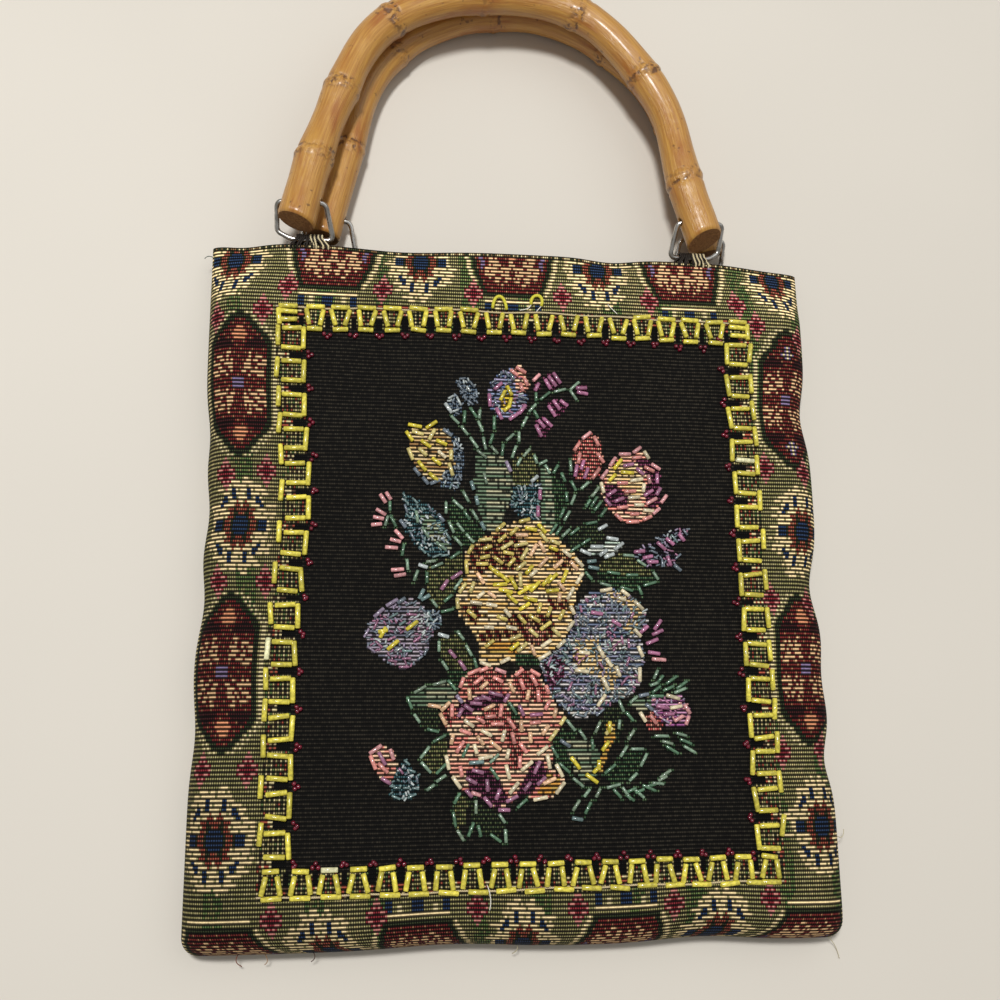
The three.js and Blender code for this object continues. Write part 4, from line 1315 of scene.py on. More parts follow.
# How far a bead strays along its side, across it and in degrees
STRAY_ALONG = 0.15
STRAY_ACROSS = 0.14
STRAY_TURN = 3
UPRIGHT = ("left", "right")
# Length of a cell's inner and outer bead, as shares of it, on upright sides or not
INNER_SHARE = {True: 0.92 * CELL_SHARE, False: 0.8 * CELL_SHARE}
OUTER_SHARE = {True: 0.6, False: 0.72}
# Outer beads of upright sides slide by quarters of a cell, more or less from cell to cell
SIDE_SLIDE = 1.2
SIDE_SLIDE_WAVE = 0.8
# Corner of each side, direction along it and direction inward
BORDER_SIDES = {
    "top": ((-BORDER_HALF_WIDTH, BORDER_TOP), (1, 0), (0, -1)),
    "bottom": ((-BORDER_HALF_WIDTH, BORDER_FOOT), (1, 0), (0, 1)),
    "left": ((-BORDER_HALF_WIDTH, SIDE_START), (0, 1), (1, 0)),
    "right": ((BORDER_HALF_WIDTH, SIDE_START), (0, 1), (-1, 0)),
}


def border_spot(side, at, depth):
    """Place on the bag of a bead, from its distance along one side and inward from its line."""
    corner, along, inward = (np.array(part, float) for part in BORDER_SIDES[side])
    spot = corner + along * at + inward * depth
    across = 0 if side in UPRIGHT else 1
    spot[across] += border_drift(side, spot[1 - across])
    return spot


def border_pitch(side):
    """Number of cells along a side, and the length of each."""
    if side in UPRIGHT:
        return CELLS_UP, side_pitch()
    return CELLS_ACROSS, 2 * BORDER_HALF_WIDTH / CELLS_ACROSS


def border_rows(side, settings, rng):
    """Beads of one side: two legs and an inner bead for each cell, and the line of outer beads."""
    upright = side in UPRIGHT
    cells, pitch = border_pitch(side)
    width = settings.border_width / MM
    leg = settings.border_length / MM * (SIDE_LEG if upright else 1)
    widen = SIDE_WIDEN if upright else 0
    half = pitch * CELL_SHARE / 2 - width / 2
    turn_along, turn_inward = (math.degrees(math.atan2(y, x)) for x, y in BORDER_SIDES[side][1:])
    lean = 0 if upright else LEG_LEAN * np.sign(turn_inward)
    rows = []

    def lay(at, depth, turn, length):
        spot = border_spot(side, at + rng.normal(0, STRAY_ALONG), depth + rng.normal(0, STRAY_ACROSS))
        # A few beads take the pale glass: a painted highlight
        glass = "painted_glint" if rng.random() < PAINTED_GLINT_SHARE else "border"
        height = cloth_height(*spot) + BORDER_BEAD_HEIGHT
        rows.append(((*spot, height), turn + rng.normal(0, STRAY_TURN), length, width, glass))

    for cell in range(cells):
        middle = (cell + 0.5) * pitch
        if side == "top" and cell in (0, cells - 1):
            for depth in CORNER_STACK:
                lay(middle, depth, turn_along, pitch * CELL_SHARE)
            lay(middle + np.sign(cell - 1) * pitch * CELL_SHARE / 2, BORDER_DEPTH / 2, turn_inward, leg)
            continue
        for hand in (-1, 1):
            lay(middle + hand * half, width + leg / 2, turn_inward + hand * lean, leg)
        lay(middle, BORDER_DEPTH - width / 2 + widen, turn_along, pitch * INNER_SHARE[upright])
        if side == "top" and cell in THREAD_ONLY_CELLS:
            continue
        slide = 0
        if upright:
            slide = pitch / 4 * (SIDE_SLIDE + math.sin(cell * SIDE_SLIDE_WAVE))
        elif side == "bottom" and cell < cells - 1:
            slide = pitch / 2 * cell / cells
        lay(middle + slide, width / 2 - widen, turn_along, pitch * OUTER_SHARE[upright])
    return rows


def lay_thread(name, tubes, colours):
    """A piece of sewing thread from tubes, each in its own display colour."""
    points, faces = joined(tubes)
    piece = make_piece(name, points, faces, finish_of("thread"), "bag")
    shades = [np.tile(srgb(colour), (len(line), 1)) for (line, _), colour in zip(tubes, colours)]
    set_colours(piece.data, "thread", np.concatenate(shades))
    return piece


THREAD_SIDES = 6
# The thread under the outer beads: steps, distance inward, height and length of its sway, lift and radius
BORDER_THREAD = (206, 188, 146)
BORDER_THREAD_STEPS = 60
BORDER_THREAD_INSET = 1.2
BORDER_THREAD_SWAY = 0.25
BORDER_THREAD_WAVE = 5.1
BORDER_THREAD_LIFT = 0.5
BORDER_THREAD_RADIUS = 0.36


def border_thread(side, y):
    """The thread that one level row of the border hangs on."""
    x = np.linspace(-BORDER_HALF_WIDTH, BORDER_HALF_WIDTH, BORDER_THREAD_STEPS)
    sway = y + border_drift(side, x) + BORDER_THREAD_SWAY * np.sin(x / BORDER_THREAD_WAVE)
    path = np.stack([x, sway, cloth_height(x, sway) + BORDER_THREAD_LIFT], axis=1)
    return tube(path, BORDER_THREAD_RADIUS, THREAD_SIDES, UP)


class BAG_OT_bead_border(bpy.types.Operator):
    """Sews the yellow bugle beads round the black field, and the thread that they hang on"""

    bl_idname = "bag.bead_border"
    bl_label = "Bead Border"

    def execute(self, context):
        rng = np.random.default_rng(SEED)
        settings = context.scene.bag_beads
        for side in BORDER_SIDES:
            rows = border_rows(side, settings, rng)
            piece = string_beads(f"border_beads_{side}", rows, finish_of("glass"))
            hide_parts(f"bead_row_{side}")
        lines = [
            border_thread("top", BORDER_TOP - BORDER_THREAD_INSET),
            border_thread("bottom", BORDER_FOOT + BORDER_THREAD_INSET),
        ]
        lay_thread("border_thread", lines, [BORDER_THREAD] * len(lines))
        return {"FINISHED"}


# Glasses of the slimmer bugles on petals that carry fine beads, and their share of the usual size
PETAL_GLASSES = ("slate", "lilac", "teal", "silver", "plum")
PETAL_WIDTH = 0.6
PETAL_LENGTH = 0.72
# A bugle's height over the cloth as a share of its thickness, how far it may lie on others,
# and how short or long it may be
BUGLE_HEIGHT = 0.46
BUGLE_LIFT = 0.35
BUGLE_LENGTHS = (0.8, 1.2)


def bead_ends(text):
    """Both ends of each bead of a string, as two lists of pixels."""
    ends = np.array([[float(n) for n in bead.split()] for bead in text.split(",")])
    return ends[:, :2], ends[:, 2:]


def bouquet_rows(table, length, width, rng):
    """Bugles of the bouquet from a table of their ends, slimmer on the petals that carry fine beads."""
    petals = [outline_points(outline) for weave, *outline in WOVEN if weave in FINE_BEADS]
    shortest, longest = (share * length for share in BUGLE_LENGTHS)
    rows = []
    for glass, text in table.items():
        first, second = (on_cloth(ends, FRONT_HEIGHT + width / 2) for ends in bead_ends(text))
        for a, b in zip(first, second):
            middle = (a + b) / 2
            middle[2] = cloth_height(*middle[:2]) + width * BUGLE_HEIGHT + rng.uniform(0, BUGLE_LIFT)
            turn = math.degrees(math.atan2(b[1] - a[1], b[0] - a[0]))
            size = np.clip(np.linalg.norm((b - a)[:2]), shortest, longest)
            slim = glass in PETAL_GLASSES and any(inside(edge, *middle[:2]) for edge in petals)
            long, wide = (PETAL_LENGTH, PETAL_WIDTH) if slim else (1, 1)
            rows.append((middle, turn, size * long, width * wide, glass))
    return rows


# Weaves that carry fine beads: their spacing, and the glasses that take turns
FINE_BEADS = {
    "blue_rows": (1.4, ["slate", "lilac", "slate", "teal", "silver", "plum"]),
    "lilac_rows": (1.4, ["lilac", "slate", "plum", "slate", "silver"]),
    "slate_check": (1.35, ["slate", "slate", "silver", "teal"]),
    "slate_rows": (1.6, ["slate", "lilac", "plum", "silver"]),
    "teal_check": (1.4, ["teal", "slate", "silver", "teal"]),
    "plum_rows": (1.6, ["magenta", "lilac", "rose", "plum"]),
    "sprig_check": (1.4, ["silver", "slate", "lilac", "plum", "slate"]),
}
FINE_LENGTH = 1.6
FINE_LENGTHS = (0.7, 1.15)
FINE_HEIGHT = 0.45
# Share of fine beads left out, and how far the others stray: shares of the spacing, degrees, glasses
FINE_GAPS = 0.3
FINE_STRAY = 0.45
FINE_STRAY_TURN = 32
FINE_STRAY_GLASS = 0.6
# Patches of one glass: lengths across and up of the waves that pick it
PATCH_WAVES = [(2.6, 5.1), (-6.7, 3.3)]


def outline_points(outline):
    """Corners of a woven area on the bag."""
    pixels = [tuple(map(float, corner.split(","))) for corner in outline]
    return on_cloth(pixels)[:, :2]


def fine_rows(width, rng):
    """Fine beads strewn over the woven petals that carry them, pointing out from the middle of each."""
    rows = []
    for weave, *outline in WOVEN:
        if weave not in FINE_BEADS:
            continue
        spacing, glasses = FINE_BEADS[weave]
        edge = outline_points(outline)
        centre = edge.mean(axis=0)
        low, high = edge.min(axis=0), edge.max(axis=0)
        steps = [np.arange(low[axis], high[axis], spacing) for axis in (0, 1)]
        spots = np.stack([grid.ravel() for grid in np.meshgrid(*steps)], axis=1)
        spots = spots + rng.uniform(-FINE_STRAY, FINE_STRAY, spots.shape) * spacing
        for spot in spots[inside(edge, spots[:, 0], spots[:, 1])]:
            out = spot - centre
            turn = math.degrees(math.atan2(out[1], out[0])) + rng.normal(0, FINE_STRAY_TURN)
            height = cloth_height(*spot) + width * FINE_HEIGHT
            if rng.random() < FINE_GAPS:
                continue
            rise = [1 + math.sin(spot[0] / across + spot[1] / up) for across, up in PATCH_WAVES]
            patch = sum(rise) / (2 * len(PATCH_WAVES))
            pick = patch * len(glasses) + rng.normal(0, FINE_STRAY_GLASS)
            glass = glasses[int(np.clip(pick, 0, len(glasses) - 1))]
            length = FINE_LENGTH * rng.uniform(*FINE_LENGTHS)
            rows.append(((*spot, height), turn, length, width, glass))
    return rows


class BAG_OT_bouquet_beads(bpy.types.Operator):
    """Sews the bouquet's bugle beads over its woven flowers and leaves"""

    bl_idname = "bag.bouquet_beads"
    bl_label = "Bouquet Beads"

    def execute(self, context):
        settings = context.scene.bag_beads
        rng = np.random.default_rng(SEED)
        length = settings.bugle_length / MM
        flowers = bouquet_rows(BUGLES, length, settings.bugle_width / MM, rng)
        stalks = bouquet_rows(STALKS, length, settings.stalk_width / MM, rng)
        string_beads("flower_beads", flowers, finish_of("glass"))
        string_beads("stalk_beads", stalks, finish_of("glass"))
        fine = fine_rows(settings.fine_width / MM, rng)
        string_beads("fine_petal_beads", fine, finish_of("dull_glass"), FINE_PROFILE, FINE_SIDES)
        return {"FINISHED"}


SEED_INSET = {"top": 1.1, "bottom": 0.4, "left": 1.2, "right": 1.2}
# Each seed of a group: share of its thickness along the side, and inward
SEED_GROUP = [(-0.55, 0), (0.55, 0), (0, 0.62)]
# As shares of a seed's thickness: how far it strays, its height over the cloth and its length
SEED_STRAY = 0.14
SEED_HEIGHT = 0.4
SEED_LENGTH = 0.8
HALF_TURN = 180


class BAG_OT_seed_beads(bpy.types.Operator):
    """Sews three red seed beads inside each gap of the border"""

    bl_idname = "bag.seed_beads"
    bl_label = "Seed Beads"

    def execute(self, context):
        width = context.scene.bag_beads.seed_width / MM
        rng = np.random.default_rng(SEED)
        rows = []
        for side, (_, along, inward) in BORDER_SIDES.items():
            cells, pitch = border_pitch(side)
            ends = (0, cells + 1) if side in UPRIGHT else (2, cells - 1)
            for gap in range(*ends):
                spot = border_spot(side, gap * pitch, BORDER_DEPTH + SEED_INSET[side])
                for step, inside_step in SEED_GROUP:
                    shift = np.array(along) * step + np.array(inward) * inside_step
                    place = spot + (shift + rng.normal(0, SEED_STRAY, 2)) * width
                    middle = (*place, cloth_height(*place) + width * SEED_HEIGHT)
                    turn = rng.uniform(0, HALF_TURN)
                    rows.append((middle, turn, width * SEED_LENGTH, width, "ruby"))
        string_beads("ruby_seed_beads", rows, finish_of("glass"), SEED_PROFILE)
        return {"FINISHED"}


# Handles

class CaneLine:
    """The middle line of a cane: straight splayed legs that run into one round arch."""

    def __init__(self, handle):
        self.handle = handle
        tangent = math.tan(LEG_SPLAY)
        reach = handle["half_span"] - tangent * handle["rise"]
        self.radius = reach / (math.cos(LEG_SPLAY) - tangent * (1 - math.sin(LEG_SPLAY)))
        self.arch_centre = LEG_FOOT + handle["rise"] - self.radius
        self.leg = (self.arch_centre + self.radius * math.sin(LEG_SPLAY) - LEG_FOOT) / math.cos(LEG_SPLAY)
        self.length = 2 * self.leg + self.radius * (math.pi - 2 * LEG_SPLAY)

    def at(self, distance):
        """Middles of the cane and directions outward from its arch."""
        mirrored = distance > self.length / 2
        along = np.where(mirrored, self.length - distance, distance)
        lean = LEG_SPLAY + np.maximum(0, along - self.leg) / self.radius
        straight = along < self.leg
        leg_x = along * math.sin(LEG_SPLAY) - self.handle["half_span"]
        leg_y = along * math.cos(LEG_SPLAY) + LEG_FOOT
        x = np.where(straight, leg_x, -self.radius * np.cos(lean))
        y = np.where(straight, leg_y, self.arch_centre + self.radius * np.sin(lean))
        hand = np.where(mirrored, -1, 1)
        outward = np.stack([-np.cos(lean) * hand, np.sin(lean), np.zeros_like(lean)], axis=1)
        height = np.full_like(x, self.handle["height"])
        middle = np.stack([x * hand + self.handle["centre"], y, height], axis=1)
        sway = sum(s * bell(distance - at, SWAY_SPREAD) for at, s in self.handle["nodes"])
        return middle + outward * np.asarray(sway)[:, None], outward


# Relief of a node: depth and spread of its swelling, its ridge and the groove beside that
NODE_SWELL = 0.45
NODE_SWELL_SPREAD = 7
NODE_RIDGE = 0.42
NODE_RIDGE_SPREAD = 1.2
NODE_GROOVE = 0.3
NODE_GROOVE_AT = 2.3
NODE_GROOVE_SPREAD = 0.6
# How a node's ring strays from a plane: height and number of its waves, and the range of their starts
NODE_SKEWS = [(0.7, 1), (0.25, 3)]
WAVE_STARTS = 6
# Dark scar of a node: its unevenness round the cane, the stain before it, and the eye of a cut twig
SCAR_UNEVEN = 0.28
STAIN_DEPTH = 0.7
STAIN_AT = -1
STAIN_SPREAD = 2.4
EYE_DEPTH = 1.3
EYE_AT = 0.4
EYE_LENGTH = 1.1
EYE_WIDTH = 1.3
# Ripples of a cane's thickness: height, length and start
CANE_RIPPLES = [(0.1, 9.7, 0), (0.07, 4.3, 1)]
# Rings of points on a sawn end, as shares of its radius
SAWN_RINGS = (0.97, 0.6, 0.2)
CANE_BEVEL = 0.5


def cane_radius(handle, distance, from_end):
    """Thickness along a cane: flared and bevelled ends, and small ripples."""
    flare = np.clip(1 - from_end / CANE_END_FLARE, 0, 1)
    radius = handle["radius"] + (handle["end_radius"] - handle["radius"]) * flare
    radius = radius - CANE_BEVEL * np.clip(1 - from_end / CANE_BEVEL, 0, 1) ** 2
    for height, length, start in CANE_RIPPLES:
        radius = radius + height * np.sin(distance / length + start)
    return radius


def raise_nodes(skin, handle, distance, angle, rng):
    """Raises the nodes on a cane's skin, and returns how dark their scars are."""
    scar = np.zeros_like(skin)
    for at, _ in handle["nodes"]:
        skew = sum(h * np.sin(count * angle + rng.uniform(0, WAVE_STARTS)) for h, count in NODE_SKEWS)
        off = distance[:, None] - at - skew[None, :]
        skin += NODE_SWELL * bell(off, NODE_SWELL_SPREAD) + NODE_RIDGE * bell(off, NODE_RIDGE_SPREAD)
        groove = bell(off - NODE_GROOVE_AT, NODE_GROOVE_SPREAD)
        skin -= NODE_GROOVE * groove
        patchy = 1 - SCAR_UNEVEN + SCAR_UNEVEN * np.sin(2 * angle + rng.uniform(0, WAVE_STARTS))
        stain = STAIN_DEPTH * bell(off - STAIN_AT, STAIN_SPREAD)
        scar += groove * patchy[None, :] + stain * patchy[None, ::-1]
        eye = rng.uniform(0, 2 * math.pi)
        aside = np.sin((angle - eye) / 2) * 2 * handle["radius"]
        scar += EYE_DEPTH * bell(off - EYE_AT, EYE_LENGTH) * bell(aside, EYE_WIDTH)[None, :]
    return scar


def cane_mesh(handle, sides, step, rng):
    """A closed swept body with sawn ends: points, faces, sawn faces, scars and places on the cane."""
    line = CaneLine(handle)
    distance = np.linspace(-handle["left_extra"], line.length, int(line.length / step) + 1)
    middle, outward = line.at(distance)
    from_end = np.minimum(distance - distance[0], line.length - distance)
    around, angle = spokes(outward, np.array(UP), sides)
    skin = np.repeat(cane_radius(handle, distance, from_end)[:, None], sides, axis=1)
    scar = raise_nodes(skin, handle, distance, angle, rng)
    points = middle[:, None] + skin[..., None] * around
    left = distance < line.length / 2
    ahead = np.cross(UP, outward) * np.where(left, -1, 1)[:, None]
    lean = np.where(left, 0, handle["right_lean"])
    slant = handle["slant"] * np.cos(angle)[None, :] + lean[:, None] * np.sin(angle)[None, :]
    slant = slant * np.clip(1 - from_end / END_SLANT_REACH, 0, 1)[:, None] * skin
    points += slant[..., None] * ahead[:, None]
    points[..., 2] = np.maximum(points[..., 2], 0)
    share = np.array(SAWN_RINGS)[:, None, None]
    ends = [middle[end] + (points[end] - middle[end])[None] * share for end in (0, -1)]
    count, inner = len(distance), len(SAWN_RINGS)
    index = np.arange(count * sides).reshape(count, sides)
    head = count * sides + np.arange(inner * sides).reshape(inner, sides)
    tail = head + inner * sides
    rings = np.concatenate([head[::-1], index, tail])
    faces = [[face[0], *face[:0:-1]] for face in ring_faces(rings)]
    band = np.arange(len(faces)) // sides
    sawn = (band < inner) | (band >= len(rings) - 1 - inner)
    all_points = np.concatenate([points.reshape(-1, 3)] + [cap.reshape(-1, 3) for cap in ends])
    rounds = np.repeat(angle[None] * handle["radius"], count, axis=0)
    along = np.repeat(distance[:, None], sides, axis=1)
    places = np.stack([rounds, along], axis=-1).reshape(-1, 2)
    places = np.concatenate([places, np.zeros((2 * inner * sides, 2))])
    scars = np.concatenate([np.clip(scar, 0, 1).ravel(), np.zeros(2 * inner * sides)])
    return all_points, faces, sawn, scars, places


# The tool that cuts a hole: its half length in reaches of a link, its steps and its sides
DRILL_REACH = 3
DRILL_STEPS = 5
DRILL_SIDES = 20


def hole_middle(handle, side):
    """Middle of the hole in one end of a cane."""
    return np.array((
        handle["centre"] + side * (handle["half_span"] - HOLE_FROM_END * math.sin(LEG_SPLAY)),
        LEG_FOOT + HOLE_FROM_END * math.cos(LEG_SPLAY),
        handle["height"],
    ))


def drill(piece, middle):
    """Cuts the hole across a cane near its end."""
    reach = np.linspace(-DRILL_REACH, DRILL_REACH, DRILL_STEPS)[:, None]
    path = middle + reach * np.array((LINK_OUTER_REACH, 0, 0))
    points, faces = tube(path, HOLE_RADIUS, DRILL_SIDES, UP)
    mesh = bpy.data.meshes.new("drill")
    mesh.from_pydata(((points - (0, HALF_LENGTH, 0)) * MM).tolist(), [], faces)
    bit = bpy.data.objects.new("drill", mesh)
    bpy.context.scene.collection.objects.link(bit)
    cut = piece.modifiers.new("hole", "BOOLEAN")
    cut.operation = "DIFFERENCE"
    cut.solver = "EXACT"
    cut.object = bit
    graph = bpy.context.evaluated_depsgraph_get()
    piece.data = bpy.data.meshes.new_from_object(piece.evaluated_get(graph), depsgraph=graph)
    piece.modifiers.clear()
    bpy.data.objects.remove(bit)


class BAG_OT_canes(bpy.types.Operator):
    """Bends the two bamboo canes, with their nodes, cut ends and drilled holes"""

    bl_idname = "bag.canes"
    bl_label = "Canes"

    def execute(self, context):
        settings = context.scene.bag_handles
        for place, handle in HANDLES.items():
            rng = np.random.default_rng(SEED + len(place))
            shape = cane_mesh(handle, settings.cane_sides, settings.cane_step / MM, rng)
            points, faces, sawn, scars, places = shape
            name = f"{place}_cane_bamboo"
            piece = make_piece(name, points, faces, finish_of("bamboo"), f"{place}_cane")
            piece.data.materials.append(finish_of("cut"))
            piece.data.polygons.foreach_set("material_index", sawn.astype(np.int32))
            layer = piece.data.attributes.new("scar", "FLOAT", "POINT")
            layer.data.foreach_set("value", scars.astype(np.float32))
            corners = np.zeros(len(piece.data.loops), np.int32)
            piece.data.loops.foreach_get("vertex_index", corners)
            layer = piece.data.uv_layers.new(name="cane")
            layer.data.foreach_set("uv", places[corners].astype(np.float32).ravel())
            for side in (-1, 1):
                drill(piece, hole_middle(handle, side))
            piece.data.name = name
            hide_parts(f"{place}_handle")
        return {"FINISHED"}


CORNER_STEPS = 8
WIRE_SIDES = 14


def link_path(top, bar, side):
    """The wire's line: across through the cane, down past it, and along the hem, with rounded corners."""
    foot = np.array((top[0], bar[1], bar[2]))
    outer = np.array((side * LINK_OUTER_REACH, 0, 0))
    inner = np.array((-side * LINK_INNER_REACH, 0, 0))
    shoulder = top + (foot - top) * LINK_SHOULDER - (0, 0, LINK_SHOULDER_DROP)
    corners = [top + outer, top + inner, bar + inner, bar + outer * LINK_BAR_SHARE, shoulder + outer]
    share = np.linspace(0, 1, CORNER_STEPS + 1)[:, None]
    path = []
    for i, (corner, radius) in enumerate(zip(corners, LINK_CORNERS)):
        before, after = corners[i - 1], corners[(i + 1) % len(corners)]
        start = corner + (before - corner) / np.linalg.norm(before - corner) * radius
        end = corner + (after - corner) / np.linalg.norm(after - corner) * radius
        path.append((1 - share) ** 2 * start + 2 * share * (1 - share) * corner + share ** 2 * end)
    return np.concatenate(path)


def link_places(place):
    """Middles of a link's top and bar, and its side of the bag."""
    handle, side, shift, hem = LINKS[place]
    top = hole_middle(HANDLES[handle], side)
    return top, np.array((top[0] + shift, BAR_Y, hem)), side


class BAG_OT_links(bpy.types.Operator):
    """Bends the four wire links through the cane ends"""

    bl_idname = "bag.links"
    bl_label = "Links"

    def execute(self, context):
        for place, (handle, *_) in LINKS.items():
            top, bar, side = link_places(place)
            normal = np.cross((1, 0, 0), top - bar)
            points, faces = tube(link_path(top, bar, side), WIRE_RADIUS, WIRE_SIDES, normal, closed=True)
            name, body = f"wire_link_{place}", f"{handle}_links"
            piece = make_piece(name, points, faces, finish_of("wire"), body)
            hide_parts(f"link_{place}")
        return {"FINISHED"}


# Loops of a wrap: their number, how far they bite into the hem, and how they fan out there
WRAP_TURNS = 14
HEM_BITE = 2.2
HEM_BITE_STRAY = 0.6
STITCH_FAN = 0.55
STITCH_FAN_STRAY = 0.5
# Steps round a loop, where it turns down to the hem, and its clearance over the table
LOOP_STEPS = 25
LOOP_DOWN = 0.02
LOOP_CLEAR = 0.05
LOOP_SIDES = 7
# The first turns are all dark, the others dark and pale in turn
DARK_TURNS = 6
DARK_THREAD = (38, 30, 23)
PALE_THREAD = (216, 200, 158)


def stitch_loops(bar, width, rng):
    """Loops of thread round a link's bar and through the hem, as tubes."""
    loops = []
    swing = np.linspace(0, 2 * math.pi, LOOP_STEPS + 1)[:-1]
    down = np.clip(-np.sin(swing), 0, 1) > LOOP_DOWN
    for turn in range(WRAP_TURNS):
        x = (turn + 0.5) / WRAP_TURNS * WRAP_LENGTH - WRAP_LENGTH / 2
        reach = HEM_BITE + rng.uniform(-HEM_BITE_STRAY, HEM_BITE_STRAY)
        lean = x * STITCH_FAN + rng.normal(0, STITCH_FAN_STRAY)
        y = bar[1] + np.where(down, -reach, 0) + np.sin(swing) * (WRAP_RADIUS - width / 2)
        z = bar[2] + np.cos(swing) * (WRAP_RADIUS - width / 2)
        z = np.maximum(z, width / 2 + LOOP_CLEAR)
        path = np.stack([bar[0] + x + np.where(down, lean, 0), y, z], axis=1)
        loops.append(tube(path, width / 2, LOOP_SIDES, (1, 0, 0), closed=True))
    return loops


class BAG_OT_stitches(bpy.types.Operator):
    """Sews each link's bar to the hem, half with dark thread and half with dark and pale in turn"""

    bl_idname = "bag.stitches"
    bl_label = "Stitches"

    def execute(self, context):
        width = context.scene.bag_handles.thread_width / MM
        rng = np.random.default_rng(SEED)
        pale = [turn >= DARK_TURNS and turn % 2 == 1 for turn in range(WRAP_TURNS)]
        colours = [PALE_THREAD if light else DARK_THREAD for light in pale]
        for place in LINKS:
            loops = stitch_loops(link_places(place)[1], width, rng)
            piece = lay_thread(f"stitches_{place}", loops, colours)
            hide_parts(f"stitch_{place}")
        return {"FINISHED"}


OLD_WHITE = (206, 196, 160)
WHITE = (236, 232, 220)
YELLOW = (222, 214, 70)
# Loose ends of thread: start, two bends and end on the bag, display colour and thickness
LOOSE_ENDS = [
    ((-113.6, 248, 9), (-115.5, 249.5, 9), (-117, 249.5, 9), (-117.8, 248.2, 8.5), (60, 80, 70), 0.3),
    ((108.4, 1.5, 8), (111, -1, 5), (115, -2, 1), (116.2, -8.2, 0.4), OLD_WHITE, 0.26),
    ((113.8, 36, 9), (117, 33, 7), (119, 34, 6.4), (119, 37, 6), OLD_WHITE, 0.26),
    ((-96, 0.6, 8), (-97.5, -1.6, 7), (-97.2, -3, 5), (-95.2, -4.2, 3), (150, 84, 60), 0.3),
    ((-88, 0.8, 8), (-86.2, -1.4, 7), (-86.4, -3, 5), (-87.6, -3.8, 3), (190, 150, 110), 0.3),
    ((-72, 0.9, 8), (-70.4, -1, 7), (-70.8, -2.4, 5), (-72.2, -3.2, 4), (80, 50, 36), 0.3),
    ((-3, 1.6, 8), (-1.4, -0.4, 7), (-2, -1.8, 5), (-3.6, -2.6, 4), OLD_WHITE, 0.3),
    ((-10, 229, 19), (-9.7, 235.2, 20), (-5.4, 235.2, 20), (-4.7, 228.6, 19), YELLOW, 1.25),
    ((4.7, 231.1, 19), (4, 235.8, 20), (10.4, 235.8, 20), (8.6, 230.6, 19), YELLOW, 1.25),
    ((4.7, 231.1, 19), (3.8, 229, 19), (2.6, 229.2, 18.8), (0.4, 228.8, 18.6), WHITE, 0.42),
    ((8.6, 230.6, 19), (8, 229.8, 19), (7.2, 229.2, 18.8), (6.8, 228.4, 18.6), WHITE, 0.42),
    ((34.6, 232.6, 18.4), (35.6, 231.2, 19), (36.6, 230.2, 19), (38, 228.8, 18.8), WHITE, 0.36),
    ((-14, 21.4, 18.8), (-12.8, 18.4, 20), (-12.6, 15.4, 19.4), (-13.2, 13.2, 18.7), WHITE, 0.36),
]
LOOSE_STEPS = 12
# A direction that no loose end runs along
LOOSE_ACROSS = (0.2, 0.3, 1)


class BAG_OT_loose_ends(bpy.types.Operator):
    """Lays the frayed ends of thread that hang from the seams and the beadwork"""

    bl_idname = "bag.loose_ends"
    bl_label = "Loose Ends"

    def execute(self, context):
        share = np.linspace(0, 1, LOOSE_STEPS)[:, None]
        tubes, colours = [], []
        for start, bend, turn, end, colour, width in LOOSE_ENDS:
            path = (1 - share) ** 3 * np.array(start) + 3 * share * (1 - share) ** 2 * np.array(bend)
            path = path + 3 * share ** 2 * (1 - share) * np.array(turn) + share ** 3 * np.array(end)
            tubes.append(tube(path, width / 2, THREAD_SIDES, LOOSE_ACROSS))
            colours.append(colour)
        lay_thread("loose_thread_ends", tubes, colours)
        return {"FINISHED"}


FLOOR_HALF = 1.5
# Place, aim and size of each light, in metres
KEY_LIGHT = ((-0.34, 0.34, 1.6), (0, 0, 0), 0.24)
FILL_LIGHT = ((0.7, 0.5, 1.1), (0, 0, 0), 1.2)
SKY_COLOUR = (1.0, 0.97, 0.93, 1)
# Camera: width of its sensor in millimetres, and the nearest thing it sees in metres
SENSOR_WIDTH = 36
NEAREST = 0.01


def soft_light(name, place, power):
    """A square light that faces its aim."""
    at, aim, size = place
    lamp = bpy.data.lights.new(name, "AREA")
    lamp.energy = power
    lamp.size = size
    light = bpy.data.objects.new(name, lamp)
    ahead = Vector(at) - Vector(aim)
    light.location = at
    light.rotation_euler = ahead.to_track_quat("Z", "Y").to_euler()
    bpy.context.scene.collection.objects.link(light)


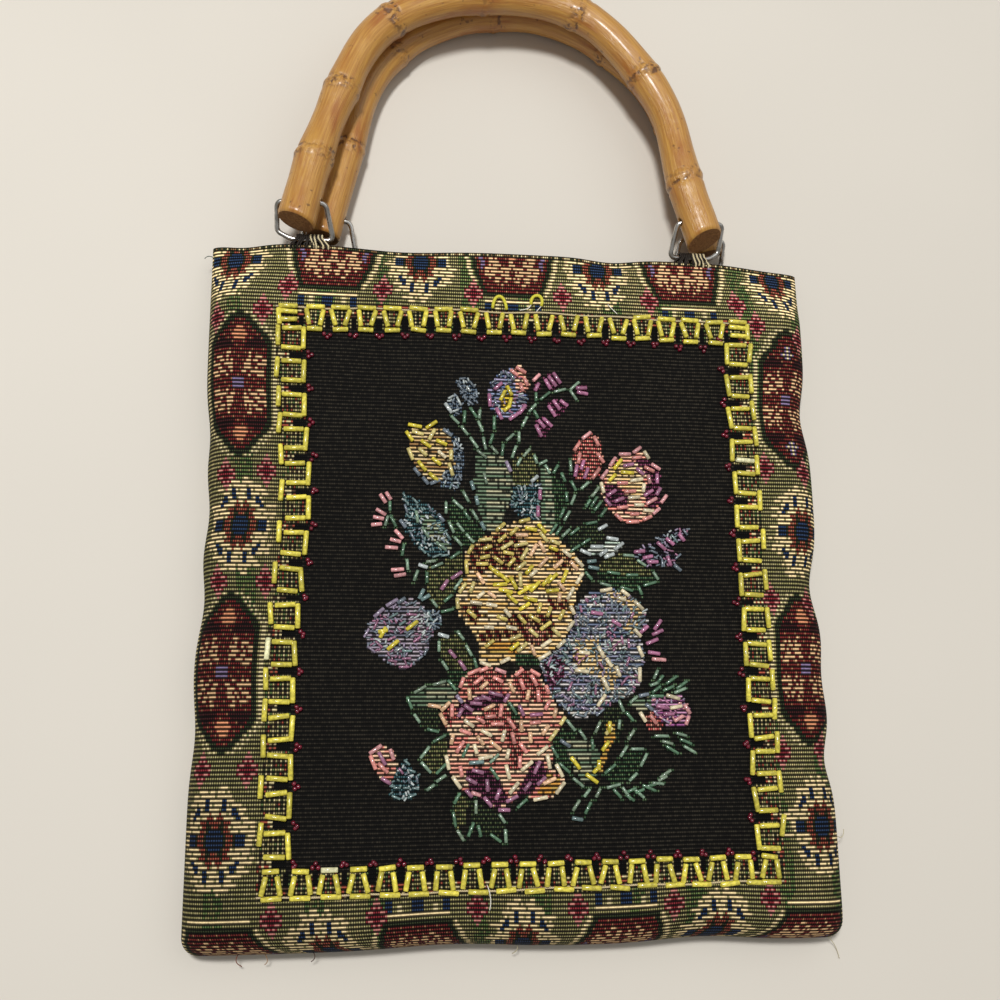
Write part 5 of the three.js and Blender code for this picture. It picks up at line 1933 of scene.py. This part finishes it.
class BAG_OT_stage(bpy.types.Operator):
    """Lays a pale table under the bag, with soft light and a camera at the picture's angle"""

    bl_idname = "bag.stage"
    bl_label = "Stage"

    def execute(self, context):
        settings = context.scene.bag_stage
        scene = context.scene
        scene.view_settings.view_transform = "Standard"
        mesh = bpy.data.meshes.new("table_top")
        h = FLOOR_HALF
        mesh.from_pydata([(-h, -h, 0), (h, -h, 0), (h, h, 0), (-h, h, 0)], [], [(0, 1, 2, 3)])
        mesh.materials.append(floor_finish(settings.floor_colour))
        table = bpy.data.objects.new("table_top", mesh)
        scene.collection.objects.link(table)
        world = bpy.data.worlds.new("soft_room")
        world.use_nodes = True
        sky = world.node_tree.nodes["Background"]
        sky.inputs["Color"].default_value = SKY_COLOUR
        sky.inputs["Strength"].default_value = settings.sky
        scene.world = world
        soft_light("key_light", KEY_LIGHT, settings.key_power)
        soft_light("fill_light", FILL_LIGHT, settings.fill_power)
        lens = bpy.data.cameras.new("picture_camera")
        lens.sensor_width = SENSOR_WIDTH
        lens.sensor_fit = "HORIZONTAL"
        lens.lens = lens.sensor_width * FOCAL_PIXELS / PICTURE
        lens.clip_start = NEAREST
        camera = bpy.data.objects.new("picture_camera", lens)
        camera.location = CAMERA_AT * MM
        camera.rotation_euler = [math.radians(turn) for turn in CAMERA_TURN]
        scene.collection.objects.link(camera)
        scene.camera = camera
        return {"FINISHED"}


OPERATORS = (
    BAG_OT_stage, BAG_OT_panels, BAG_OT_bead_border, BAG_OT_bouquet_beads, BAG_OT_seed_beads,
    BAG_OT_canes, BAG_OT_links, BAG_OT_stitches, BAG_OT_loose_ends,
)
SETTINGS = {
    "bag_cloth": BagClothSettings, "bag_beads": BagBeadSettings, "bag_handles": BagHandleSettings,
    "bag_stage": BagStageSettings,
}


class BAG_PT_maker(bpy.types.Panel):
    """Settings and pieces of the bag"""

    bl_idname = "BAG_PT_maker"
    bl_label = "Bamboo Handle Bag"
    bl_space_type = "VIEW_3D"
    bl_region_type = "UI"
    bl_category = "Bag"

    def draw(self, context):
        for name, group in SETTINGS.items():
            box = self.layout.box()
            for prop in group.__annotations__:
                box.prop(getattr(context.scene, name), prop)
        for operator in OPERATORS:
            self.layout.operator(operator.bl_idname)


CLASSES = (*SETTINGS.values(), *OPERATORS, BAG_PT_maker)


def register():
    for made in CLASSES:
        bpy.utils.register_class(made)
    for name, group in SETTINGS.items():
        setattr(bpy.types.Scene, name, bpy.props.PointerProperty(type=group))


def unregister():
    for name in SETTINGS:
        delattr(bpy.types.Scene, name)
    for made in reversed(CLASSES):
        bpy.utils.unregister_class(made)


def main():
    """Makes every piece in order."""
    register()
    for operator in OPERATORS:
        kind, name = operator.bl_idname.split(".")
        getattr(getattr(bpy.ops, kind), name)()


if __name__ == "__main__":
    main()
